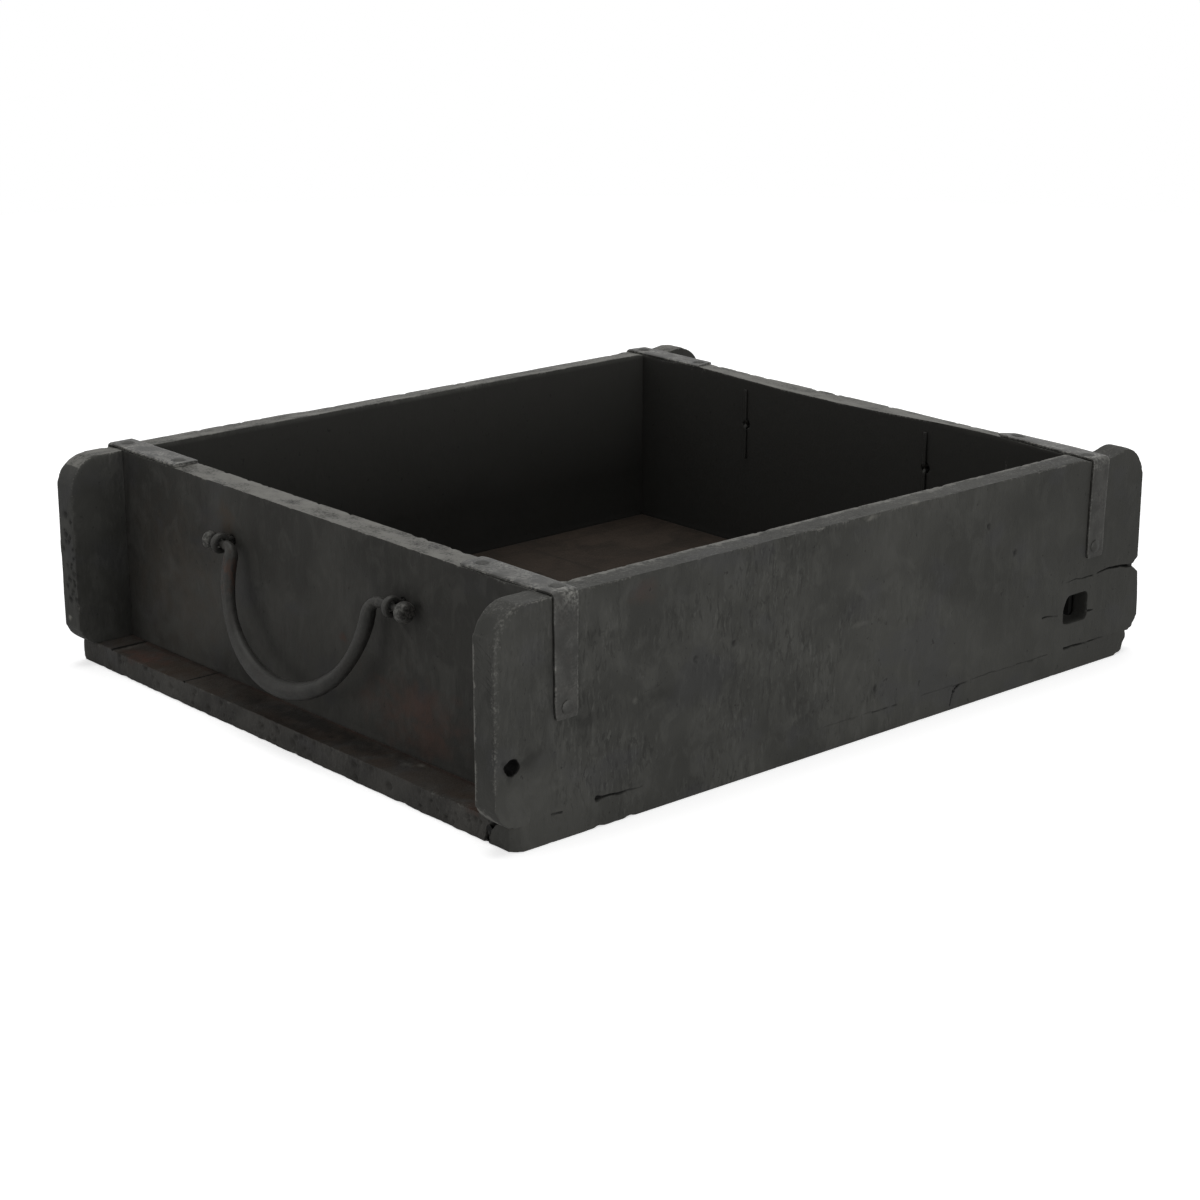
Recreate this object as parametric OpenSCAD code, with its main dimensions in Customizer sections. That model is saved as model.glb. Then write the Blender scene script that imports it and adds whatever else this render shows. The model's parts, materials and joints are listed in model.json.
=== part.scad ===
// Wooden brick mould: two side boards with rounded ears, two end boards housed between them,
// a base of boards and strips, an iron strap over each corner and a swinging bail at each end.
// X runs along the side boards, Y across the box and Z up. The origin is on the ground, under
// the middle of the box. Front is -Y, back is +Y, left is -X and right is +X.

/* [Boards] */
// Length of the side boards, tip to tip
box_l = 330; // [300:1:400]
// Width of the box over the outer faces of the side boards
box_w = 266; // [240:1:330]
// Height of the side and end boards above the base
board_h = 75; // [68:0.5:100]
// Thickness of the side boards
side_t = 11; // [9:0.5:16]
// Thickness of the end boards
end_t = 11.5; // [9:0.5:16]
// How far the side boards run past the end boards
ear_l = 23.5; // [18:0.5:32]
// Radius of the top corners of the ears
ear_r = 13; // [6:0.5:17]
// Radius of the bottom corners of the ears
ear_bottom_r = 9; // [3:0.5:12]
// How much shorter the front board's right ear has worn
tip_wear = 1; // [0:0.5:4]
// Radius of the bottom corner of the front board's right ear
worn_ear_bottom_r = 6.5; // [3:0.5:12]
// Depth of the housing in a side board that an end board sits in
housing_d = 3.5; // [2:0.5:5]
// Gap between an end board and the walls of its housing
housing_gap = 0.1; // [0.05:0.05:0.3]

/* [Base] */
// Thickness of the base boards and strips
base_t = 9; // [7:0.5:14]
// How far the base stops short of the tips of the ears
base_setback = 7.5; // [4:0.5:14]
// Radius of the corners of the base, seen from above
base_corner_r = 1; // [0.5:0.5:4]
// Radius of the front left corner of the base, which has worn rounder
worn_corner_r = 5; // [2:0.5:8]
// Width of the strip under the front side board
front_strip_w = 13; // [11:0.5:18]
// Width of the strip under the back side board
back_strip_w = 21; // [15:0.5:26]
// Width of the narrow base board next to the back strip
narrow_board_w = 51; // [40:1:70]
// Place of the butt joint in the front strip, right of the middle of the box
strip_joint_x = 55; // [40:1:65]
// Gap between neighbouring base boards
base_gap = 0.5; // [0.2:0.1:0.9]

/* [Marks in the front board] */
// Diameter of the peg hole through the front left ear
peg_hole_d = 5.6; // [4:0.1:7]
// Distance of the peg hole from the tip of the ear
peg_hole_inset = 7.2; // [6:0.1:10]
// Height of the peg hole above the base
peg_hole_h = 21; // [16:0.5:40]
// Width and height of the square hole near the right end
square_hole_w = 11; // [8:0.2:14]
// Corner radius of the square hole
square_hole_r = 1.6; // [0.5:0.1:3]
// Distance of the middle of the square hole from the right tip
square_hole_inset = 37.7; // [35:0.1:42]
// Height of the middle of the square hole above the base
square_hole_h = 15.9; // [13:0.1:18]
// Length of the split that runs in from the right tip
split_l = 43; // [20:1:60]
// Width of the split where it leaves the notch
split_gap = 1; // [0.5:0.1:2]
// Height of the split above the base
split_h = 26.5; // [26:0.5:30]
// How much the split climbs along its length
split_rise = 1.6; // [0:0.1:3]
// Depth of the broken notch at the mouth of the split
notch_d = 4; // [2:0.5:9]
// Height of the mouth of the notch
notch_h = 5.5; // [3:0.5:8]

/* [Corner straps] */
// Width of the iron strap
strap_w = 11.5; // [9:0.5:14]
// Thickness of the iron strap
strap_t = 1.2; // [0.8:0.1:2]
// Length along the top, from the outer face of the side board
strap_top_l = 47; // [38:1:60]
// Length down the outer face of the side board
strap_drop = 42; // [34:1:48]
// Distance of a nail from the end of its strap
strap_nail_inset = 5.5; // [4.5:0.5:8]

/* [Nails] */
// Diameter of a nail's shank
nail_d = 2.2; // [1.6:0.1:2.8]
// Diameter of a nail's head
nail_head_d = 6.2; // [5:0.1:7]
// Height of the low dome on a strap nail
dome_h = 0.8; // [0.5:0.1:1.4]
// Thickness of the flat head of a base nail
flat_head_h = 1; // [0.8:0.1:1.5]
// Depth that the head of a base nail is set below the surface
head_set = 0.3; // [0.1:0.1:0.8]
// Length of a strap nail below its head
strap_nail_l = 24; // [18:1:30]
// Length of a base nail
base_nail_l = 25; // [18:1:30]
// Distance of the outer base nails from the edges of the wide base board
wide_nail_inset = 30; // [25:1:40]
// Distance of the base nails from the edges of the narrow base board
narrow_nail_inset = 12; // [8:1:16]
// Distance of the outer nails of a base strip from its ends
strip_nail_inset = 55; // [50:1:65]
// Distance of the nails beside the butt joint from the joint
butt_nail_inset = 15; // [8:1:20]
// Gap around a nail in its hole
nail_gap = 0.05; // [0.02:0.01:0.1]

/* [Handles] */
// Height of the bail's pivot above the base
pivot_h = 54.5; // [50:0.5:58]
// Distance of the pivot from the face of the end board
pivot_off = 5; // [4.7:0.1:7]
// Distance of the handle from the middle of its end, to the right as seen from outside
handle_shift = 3.4; // [0:0.1:6]
// Diameter of the wire that a split pin is bent from
wire_d = 1.8; // [1.2:0.1:2.2]
// Gap around a stub of the bail in its eye
eye_gap = 0.3; // [0.2:0.05:0.6]
// Gap between the two legs of a split pin
leg_gap = 0.2; // [0.1:0.1:0.6]
// Gap around the legs of a split pin in the end board
pin_gap = 0.1; // [0.05:0.05:0.3]
// Inner radius of the bend where a leg is clenched over
clench_r = 0.4; // [0.3:0.1:1]
// Length of a clenched leg past its bend
clench_l = 13; // [8:0.5:16]
// Diameter of the pivot stubs at the ends of the bail
stub_d = 2.8; // [2:0.1:3.4]
// Distance of each arm of the bail from the middle of its bow
arm_reach = 42.2; // [38:0.1:46]
// Length of the straight arms below the wider of the two bends
arm_l = 0.2; // [0.1:0.1:6]
// Depth of the bow below the straight arms
bow_depth = 37; // [28:0.5:38]
// How far the bow sits off the middle of the two eyes, towards the tight bend
bow_shift = 1.9; // [0:0.1:3]
// Radius of the tight bend between an arm and its stub
tight_bend_r = 3.2; // [2.8:0.1:4]
// Radius of the wide bend between the other arm and its stub
wide_bend_r = 4.8; // [3:0.1:6]
// Gap between a bend of the bail and the eye next to it
bend_gap = 3.8; // [1:0.1:6]
// Thickness of the bar in the arms
arm_d = 4.2; // [3.2:0.1:5]
// Thickness of the bar at the bottom of the bow
bow_d = 7.2; // [5:0.1:8]
// Gap between an eye and the knob that keeps the bail in it
knob_gap = 3.2; // [0.5:0.1:4]
// Width of a hammered knob, across its flats
knob_d = 6; // [5:0.1:8]
// Length of a hammered knob
knob_l = 3.4; // [2.4:0.1:6]
// Bevel around both faces of a knob
knob_bevel = 0.8; // [0.4:0.1:1.1]
// Angle at which the bail stands off the vertical
bail_tilt = 14; // [5:1:30]

/* [Hidden] */
$fn = 48;
// Overshoot that lets a cut pass clean through a face
cut = 1;
wood = [0.2, 0.2, 0.19];
base_wood = [0.22, 0.19, 0.17];
iron = [0.24, 0.24, 0.24];

// Faces of the boards
top_z = base_t + board_h;
side_y = box_w / 2;
side_in_y = side_y - side_t;
side_mid_y = side_y - side_t / 2;
tip_x = box_l / 2;
worn_tip_x = tip_x - tip_wear;
end_x = tip_x - ear_l;
end_in_x = end_x - end_t;
end_mid_x = end_x - end_t / 2;
base_x = tip_x - base_setback;

// Seams of the base, from front to back
front_seam_y = -side_y + front_strip_w;
back_seam_y = side_y - back_strip_w;
narrow_seam_y = back_seam_y - narrow_board_w;

// Places of the nails
strap_nail_y = side_y - strap_top_l + strap_nail_inset;
strap_nail_z = top_z - strap_drop + strap_nail_inset;
// A nail beside the bend of a strap stops above the nail lower down
bend_nail_l = min(strap_nail_l, top_z + strap_t - strap_nail_z - nail_head_d);
wide_nail_y = [
    front_seam_y + wide_nail_inset,
    (front_seam_y + narrow_seam_y) / 2,
    narrow_seam_y - wide_nail_inset
];
narrow_nail_y = [narrow_seam_y + narrow_nail_inset, back_seam_y - narrow_nail_inset];
strip_nail_x = base_x - strip_nail_inset;
back_nail_x = [for (i = [-1, -1 / 3, 1 / 3, 1]) i * strip_nail_x];
front_nail_x = [
    -strip_nail_x,
    (strip_joint_x - butt_nail_inset - strip_nail_x) / 2,
    strip_joint_x - butt_nail_inset,
    strip_joint_x + butt_nail_inset,
    strip_nail_x
];

// Split pins
wire_r = wire_d / 2;
eye_r = stub_d / 2 + eye_gap + wire_r;
leg_off = wire_r + leg_gap / 2;
leg_start = sqrt(pow(eye_r, 2) - pow(leg_off, 2));
pin_hole_r = leg_off + wire_r + pin_gap;

// Bail
pivot_x = end_x + pivot_off;
pivot_z = base_t + pivot_h;
tight_arm_y = arm_reach + bow_shift;
wide_arm_y = arm_reach - bow_shift;
stub_start = [tight_arm_y + tight_bend_r, wide_arm_y + wide_bend_r];
eye_reach = max(stub_start) + bend_gap + wire_r;
knob_start = eye_reach + wire_r + knob_gap;
bow_top = max(tight_bend_r, wide_bend_r) + arm_l;
bar_sides = 16;
bow_step = 6;
bend_step = 15;
// The bent bar ends a little inside the thicker stub
bar_end_share = 0.9;
bar_end_depth = stub_d / 4;

// The waste outside a rounded corner whose tip is at the origin, with the material at -x and -y
module corner_waste(r) {
    difference() {
        translate([-r, -r]) square(r + cut);
        translate([-r, -r]) circle(r);
    }
}

module rounded_square(w, r) {
    translate([-w / 2 + r, -w / 2]) square([w - 2 * r, w]);
    translate([-w / 2, -w / 2 + r]) square([w, w - 2 * r]);
    for (sx = [-1, 1], sy = [-1, 1]) translate([sx, sy] * (w / 2 - r)) circle(r);
}

// What stands at the back right corner of the box, at all four corners
module at_corners() {
    for (sx = [0, 1], sy = [0, 1]) mirror([sx, 0, 0]) mirror([0, sy, 0]) children();
}

// Nails point along -Z from the surface that they are driven into
module dome_nail(l) {
    dome_r = (pow(nail_head_d / 2, 2) + pow(dome_h, 2)) / (2 * dome_h);
    rotate_extrude() intersection() {
        translate([0, dome_h - dome_r]) circle(dome_r);
        square([nail_head_d, dome_h]);
    }
    translate([0, 0, -l]) cylinder(d = nail_d, h = l);
}

module flat_nail(l) {
    translate([0, 0, -head_set - flat_head_h]) cylinder(d = nail_head_d, h = flat_head_h);
    translate([0, 0, -l]) cylinder(d = nail_d, h = l - head_set - flat_head_h);
}

module shank_hole(l) {
    translate([0, 0, -l - nail_gap]) cylinder(d = nail_d + 2 * nail_gap, h = l + nail_gap + cut);
}

module flat_nail_hole(l) {
    head_depth = head_set + flat_head_h + nail_gap;
    shank_hole(l);
    translate([0, 0, -head_depth]) cylinder(d = nail_head_d + 2 * nail_gap, h = head_depth + cut);
}

module at_strap_top_nails() {
    at_corners() translate([end_mid_x, strap_nail_y, top_z + strap_t]) children();
}

module at_strap_bend_nails() {
    at_corners() translate([end_mid_x, side_mid_y, top_z + strap_t]) children();
}

module at_strap_drop_nails() {
    at_corners() translate([end_mid_x, side_y + strap_t, strap_nail_z]) rotate([-90, 0, 0]) children();
}

module at_base_nails() {
    places = concat(
        [for (sx = [-1, 1], y = concat(wide_nail_y, narrow_nail_y)) [sx * end_mid_x, y]],
        [for (x = back_nail_x) [x, side_mid_y]],
        [for (x = front_nail_x) [x, -side_mid_y]]
    );
    for (p = places) translate(p) rotate([180, 0, 0]) children();
}

// Waste at the two rounded corners of an ear whose tip is at x
module ear_waste(x, bottom_r) {
    translate([x, top_z]) corner_waste(ear_r);
    translate([x, base_t]) mirror([0, 1]) corner_waste(bottom_r);
}

// A side board on the front side, seen from outside
module side_outline(right_x, right_bottom_r) {
    difference() {
        translate([-tip_x, base_t]) square([tip_x + right_x, board_h]);
        ear_waste(right_x, right_bottom_r);
        mirror([1, 0]) ear_waste(tip_x, ear_bottom_r);
    }
}

// The side board with its two housings; children are cut out of its outline
module side_blank(right_x, right_bottom_r) {
    difference() {
        translate([0, -side_in_y, 0]) rotate([90, 0, 0]) linear_extrude(side_t) difference() {
            side_outline(right_x, right_bottom_r);
            children();
        }
        for (sx = [0, 1]) mirror([sx, 0, 0])
            translate([end_in_x - housing_gap, -side_in_y - housing_d, base_t - cut])
                cube([end_t + 2 * housing_gap, housing_d + cut, board_h + 2 * cut]);
    }
}

module side_nail_holes() {
    at_strap_bend_nails() shank_hole(bend_nail_l);
    at_strap_drop_nails() shank_hole(strap_nail_l);
    at_base_nails() shank_hole(base_nail_l);
}

// Peg hole, square hole, and the split with its broken mouth
module front_marks() {
    translate([peg_hole_inset - tip_x, base_t + peg_hole_h]) circle(d = peg_hole_d);
    translate([worn_tip_x - square_hole_inset, base_t + square_hole_h])
        rounded_square(square_hole_w, square_hole_r);
    translate([worn_tip_x, base_t + split_h]) {
        polygon([[cut, -notch_h / 2], [cut, notch_h / 2], [0, notch_h / 2], [-notch_d, 0], [0, -notch_h / 2]]);
        polygon([[-notch_d / 2, split_gap / 2], [-split_l, split_rise], [-notch_d / 2, -split_gap / 2]]);
    }
}

module front_side_board() {
    color(wood) difference() {
        side_blank(worn_tip_x, worn_ear_bottom_r) front_marks();
        side_nail_holes();
    }
}

module back_side_board() {
    color(wood) difference() {
        mirror([0, 1, 0]) side_blank(tip_x, ear_bottom_r);
        side_nail_holes();
    }
}

// The end board on the left, with the holes of its two split pins
module end_blank() {
    half_l = side_in_y + housing_d - housing_gap;
    difference() {
        translate([-end_x, -half_l, base_t]) cube([end_t, 2 * half_l, board_h]);
        for (sy = [-1, 1]) at_left_eye(sy) cylinder(r = pin_hole_r, h = pivot_off + end_t + cut);
    }
}

module end_nail_holes() {
    at_strap_top_nails() shank_hole(strap_nail_l);
    at_strap_drop_nails() shank_hole(strap_nail_l);
    at_base_nails() shank_hole(base_nail_l);
}

module left_end_board() {
    color(wood) difference() {
        end_blank();
        end_nail_holes();
    }
}

module right_end_board() {
    color(wood) difference() {
        rotate([0, 0, 180]) end_blank();
        end_nail_holes();
    }
}

// A piece of the base between two places along X and two across; sx = sy = 1 is the front left corner
module base_piece(x0, x1, y0, y1) {
    color(base_wood) difference() {
        linear_extrude(base_t) difference() {
            translate([x0, y0]) square([x1 - x0, y1 - y0]);
            for (sx = [0, 1], sy = [0, 1]) mirror([sx, 0]) mirror([0, sy])
                translate([base_x, side_y]) corner_waste(sx * sy == 1 ? worn_corner_r : base_corner_r);
        }
        at_base_nails() flat_nail_hole(base_nail_l);
    }
}

module wide_base_board() {
    base_piece(-base_x, base_x, front_seam_y + base_gap / 2, narrow_seam_y - base_gap / 2);
}

module narrow_base_board() {
    base_piece(-base_x, base_x, narrow_seam_y + base_gap / 2, back_seam_y - base_gap / 2);
}

module back_base_strip() {
    base_piece(-base_x, base_x, back_seam_y + base_gap / 2, side_y);
}

module long_front_strip() {
    base_piece(-base_x, strip_joint_x - base_gap / 2, -side_y, front_seam_y - base_gap / 2);
}

module short_front_strip() {
    base_piece(strip_joint_x + base_gap / 2, base_x, -side_y, front_seam_y - base_gap / 2);
}

// A strap runs along the top of the end board, over the side board and down its outer face
module strap_section() {
    difference() {
        union() {
            translate([-strap_top_l, 0]) square([strap_top_l + strap_t, strap_t]);
            translate([0, -strap_drop]) square([strap_t, strap_drop + strap_t]);
        }
        translate([strap_t, strap_t]) corner_waste(strap_t);
    }
}

module back_right_strap() {
    color(iron) difference() {
        translate([end_mid_x - strap_w / 2, side_y, top_z]) rotate([90, 0, 90])
            linear_extrude(strap_w) strap_section();
        at_strap_top_nails() shank_hole(strap_nail_l);
        at_strap_bend_nails() shank_hole(bend_nail_l);
        at_strap_drop_nails() shank_hole(strap_nail_l);
    }
}

module front_right_strap() {
    mirror([0, 1, 0]) back_right_strap();
}

module back_left_strap() {
    mirror([1, 0, 0]) back_right_strap();
}

module front_left_strap() {
    mirror([1, 0, 0]) front_right_strap();
}

module strap_nails() {
    color(iron) {
        at_strap_top_nails() dome_nail(strap_nail_l);
        at_strap_bend_nails() dome_nail(bend_nail_l);
        at_strap_drop_nails() dome_nail(strap_nail_l);
    }
}

module base_nails() {
    color(iron) at_base_nails() flat_nail(base_nail_l);
}

// Stands at the middle of an eye on the left end, with local Z into the box and local X up
module at_left_eye(sy) {
    translate([-pivot_x, sy * eye_reach - handle_shift, pivot_z]) rotate([0, 90, 0]) rotate(180) children();
}

// The upper leg of a split pin, from within its eye through the board to the end clenched over inside
module pin_leg() {
    inner_face = pivot_off + end_t;
    bend_r = clench_r + wire_r;
    translate([leg_off, 0, leg_start]) cylinder(r = wire_r, h = inner_face - leg_start);
    translate([leg_off + bend_r, 0, inner_face]) {
        rotate([90, 0, 180]) rotate_extrude(angle = 90) translate([bend_r, 0]) circle(wire_r);
        translate([0, 0, bend_r]) rotate([0, 90, 0]) cylinder(r = wire_r, h = clench_l);
    }
}

// A split pin of round wire: an eye outside the end board and two legs through it, bent up and down
module left_eye_pin(sy) {
    color(iron) at_left_eye(sy) {
        rotate([90, 0, 0]) rotate_extrude() translate([eye_r, 0]) circle(wire_r);
        for (side = [0, 1]) mirror([side, 0, 0]) pin_leg();
    }
}

module left_front_eye_pin() {
    left_eye_pin(-1);
}

module left_back_eye_pin() {
    left_eye_pin(1);
}

module right_front_eye_pin() {
    rotate([0, 0, 180]) left_eye_pin(1);
}

module right_back_eye_pin() {
    rotate([0, 0, 180]) left_eye_pin(-1);
}

// The middle line of the bar as [y, z, radius], from one stub round the bow to the other
function stub_end(y) = [y + bar_end_depth, 0, stub_d * bar_end_share / 2];
function bend_at(b, arm_y, r) = [
    arm_y + r * (1 + cos(b)),
    r * (sin(b) - 1),
    (stub_d * bar_end_share * sin(b) + arm_d * (1 - sin(b))) / 2
];
function bow_at(a) = [
    bow_shift + arm_reach * cos(a),
    -bow_top - bow_depth * sin(a),
    (arm_d + (bow_d - arm_d) * pow(sin(a), 2)) / 2
];
function opposite(p) = [-p[0], p[1], p[2]];
bar_line = concat(
    [stub_end(stub_start[0])],
    [for (b = [90:bend_step:180]) bend_at(b, tight_arm_y, tight_bend_r)],
    [for (a = [0:bow_step:180]) bow_at(a)],
    [for (b = [180:-bend_step:90]) opposite(bend_at(b, wide_arm_y, wide_bend_r))],
    [opposite(stub_end(stub_start[1]))]
);

// One ring of the bar, square to the line through its neighbours
function bar_ring(i) =
    let (
        p = bar_line[i],
        before = bar_line[max(i - 1, 0)],
        after = bar_line[min(i + 1, len(bar_line) - 1)],
        run = [after[0] - before[0], after[1] - before[1]],
        side = [-run[1], run[0]] / norm(run)
    )
    [for (k = [0:bar_sides - 1])
        let (turn = 360 * k / bar_sides, out = p[2] * cos(turn))
        [p[2] * sin(turn), p[0] + side[0] * out, p[1] + side[1] * out]];

module bent_bar() {
    rings = len(bar_line);
    points = [for (i = [0:rings - 1]) each bar_ring(i)];
    skin = [for (i = [0:rings - 2], k = [0:bar_sides - 1])
        let (a = i * bar_sides + k, b = i * bar_sides + (k + 1) % bar_sides)
        each [[a, a + bar_sides, b], [b, a + bar_sides, b + bar_sides]]];
    first_cap = [for (k = [0:bar_sides - 1]) k];
    last_cap = [for (k = [bar_sides - 1:-1:0]) (rings - 1) * bar_sides + k];
    polyhedron(points, concat(skin, [first_cap, last_cap]));
}

// A knob along +Z: eight hammered flats with both faces bevelled
module knob() {
    corner_r = knob_d / 2 / cos(180 / 8);
    intersection() {
        cylinder(r = corner_r, h = knob_l, $fn = 8);
        rotate_extrude() polygon([
            [0, 0], [corner_r - knob_bevel, 0], [corner_r, knob_bevel],
            [corner_r, knob_l - knob_bevel], [corner_r - knob_bevel, knob_l], [0, knob_l]
        ]);
    }
}

module left_bail() {
    color(iron) translate([-pivot_x, -handle_shift, pivot_z]) rotate([0, bail_tilt, 0]) {
        bent_bar();
        for (sy = [0, 1]) mirror([0, sy, 0]) rotate([-90, 0, 0]) {
            translate([0, 0, stub_start[sy]])
                cylinder(d = stub_d, h = knob_start + knob_l / 2 - stub_start[sy]);
            translate([0, 0, knob_start]) knob();
        }
    }
}

module right_bail() {
    rotate([0, 0, 180]) left_bail();
}

front_side_board();
back_side_board();
left_end_board();
right_end_board();
wide_base_board();
narrow_base_board();
back_base_strip();
long_front_strip();
short_front_strip();
front_left_strap();
front_right_strap();
back_left_strap();
back_right_strap();
strap_nails();
base_nails();
left_front_eye_pin();
left_back_eye_pin();
right_front_eye_pin();
right_back_eye_pin();
left_bail();
right_bail();
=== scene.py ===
"""Looks of the brick mould: worn black paint on rough boards, thin iron straps and forged bails."""
import json
import math
from itertools import product

import bmesh
import bpy
import numpy as np
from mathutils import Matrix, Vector


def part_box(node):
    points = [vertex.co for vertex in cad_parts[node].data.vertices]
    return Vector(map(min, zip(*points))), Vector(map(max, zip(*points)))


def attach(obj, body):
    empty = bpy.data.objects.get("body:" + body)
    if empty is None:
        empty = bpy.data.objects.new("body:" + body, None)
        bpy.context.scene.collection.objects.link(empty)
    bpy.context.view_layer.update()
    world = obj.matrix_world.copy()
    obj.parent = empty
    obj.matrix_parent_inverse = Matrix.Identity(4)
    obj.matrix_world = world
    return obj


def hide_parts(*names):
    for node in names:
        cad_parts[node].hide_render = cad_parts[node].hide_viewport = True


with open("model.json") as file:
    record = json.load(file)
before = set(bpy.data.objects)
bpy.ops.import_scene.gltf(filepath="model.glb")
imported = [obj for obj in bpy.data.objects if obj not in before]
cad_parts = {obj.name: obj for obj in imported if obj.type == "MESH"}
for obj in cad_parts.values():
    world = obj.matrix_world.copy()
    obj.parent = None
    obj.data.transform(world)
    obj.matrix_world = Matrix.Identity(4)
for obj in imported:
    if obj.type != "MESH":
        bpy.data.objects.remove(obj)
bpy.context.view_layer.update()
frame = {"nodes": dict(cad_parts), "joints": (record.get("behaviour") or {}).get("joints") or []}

MM = 0.001

# Camera of the photograph, fitted to the corners and edges of the box
LOOK_AT = Vector((-0.0045, -0.0013, 0.02406))
AZIMUTH = math.radians(-41.38)
ELEVATION = math.radians(17.27)
DISTANCE = 1.03844
HALF_FRAME_PX = 600
FOCAL_PX = 2648.29

# White floor and surround; a lamp has its place in metres, power in watts, and width and height in metres
FLOOR_RADIUS = 1.2
FLOOR_DROP = 0.2 * MM
FLOOR_WHITE = (0.78, 0.78, 0.78)
FLOOR_GLOW = 0.6
SURROUND_LIGHT = 0.3
LAMPS = {
    "key": ((-0.05, -2.0, 0.26), 15.3, 0.7, 0.45),
    "fill": ((-1.9, 0.4, 0.5), 5.2, 1.0, 0.8),
    "top": ((0.1, 0.1, 2.0), 22, 1.6, 1.6),
}

# Size of the even mesh on each kind of piece, in millimetres
BOARD_VOXEL = 0.7
BASE_VOXEL = 1.0
BAIL_VOXEL = 0.4
PIN_VOXEL = 0.26
NAIL_VOXEL = 0.3

# Arrises that turn more than this stay sharp in the shading
SHARP_TURN = math.radians(48)


def box_mm(node):
    """The low and the high corner of a CAD node in millimetres."""
    return [np.array(corner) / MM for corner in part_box(node)]


# Faces of the box in millimetres
(_, FRONT_Y, BASE_Z), (_, FRONT_IN_Y, TOP_Z) = box_mm("front_side_board")
(_, BACK_IN_Y, _), (_, BACK_Y, _) = box_mm("back_side_board")
(LEFT_X, _, _), (LEFT_IN_X, _, _) = box_mm("left_end_board")
(RIGHT_IN_X, _, _), (RIGHT_X, _, _) = box_mm("right_end_board")
(BASE_LEFT_X, _, _), (BASE_RIGHT_X, _, _) = box_mm("wide_base_board")
FRONT_SEAM_Y = (box_mm("long_front_strip")[1][1] + box_mm("wide_base_board")[0][1]) / 2
NARROW_SEAM_Y = (box_mm("wide_base_board")[1][1] + box_mm("narrow_base_board")[0][1]) / 2
BACK_SEAM_Y = (box_mm("narrow_base_board")[1][1] + box_mm("back_base_strip")[0][1]) / 2
END_MID_X = (RIGHT_IN_X + RIGHT_X) / 2
END_HALF = (RIGHT_X - RIGHT_IN_X) / 2
STRIP_JOINT_X = (box_mm("long_front_strip")[1][0] + box_mm("short_front_strip")[0][0]) / 2
STRAP_IN_Y = box_mm("back_right_strap")[0][1]

# The end boards run on into housings in the side boards, with a gap at each wall
HOUSED_Y = box_mm("left_end_board")[1][1]
HOUSING_GAP = 0.1

# The axis on which a bail swings
PIVOT_X, _, PIVOT_Z = np.abs(frame["joints"][0]["pos_m"]) / MM


def lattice(cell, seed):
    """A fixed value from -1 to 1 for each whole-number cell."""
    h = (cell @ np.array([374761393, 668265263, 1442695041]) + seed * 1013904223) & 0xFFFFFFFF
    h = ((h ^ (h >> 13)) * 1274126177) & 0xFFFFFFFF
    return ((h ^ (h >> 16)) & 0xFFFF) / 32767.5 - 1


def noise(p, seed):
    """Smooth noise from -1 to 1 that changes over a length of about one."""
    cell = np.floor(p).astype(np.int64)
    f = p - cell
    f = f * f * (3 - 2 * f)
    total = np.zeros(len(p))
    for corner in product((0, 1), repeat=3):
        total += np.prod(np.where(corner, f, 1 - f), axis=1) * lattice(cell + corner, seed)
    return total


def fractal(p, wavelength, seed, octaves=3):
    """Noise in several octaves; wavelength is one length or three, in millimetres."""
    return sum(noise(p / wavelength * 2 ** i, seed + i) / 2 ** i for i in range(octaves))


def step(value, low, high):
    """0 below low, 1 above high and a smooth rise between."""
    t = np.clip((value - low) / (high - low), 0, 1)
    return t * t * (3 - 2 * t)


def line_distance(p, line):
    """Distance of each point from a line of points, and how far along the line its foot is, from 0 to 1."""
    line = np.asarray(line, float)
    best = np.full(len(p), np.inf)
    along = np.zeros(len(p))
    parts = max(len(line) - 1, 1)
    for i in range(parts):
        a, b = line[i], line[min(i + 1, len(line) - 1)]
        run = b - a
        t = np.clip((p - a) @ run / max(run @ run, 1e-9), 0, 1)
        d = np.linalg.norm(p - a - t[:, None] * run, axis=1)
        nearer = d < best
        best[nearer] = d[nearer]
        along[nearer] = (i + t[nearer]) / parts
    return best, along


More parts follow.
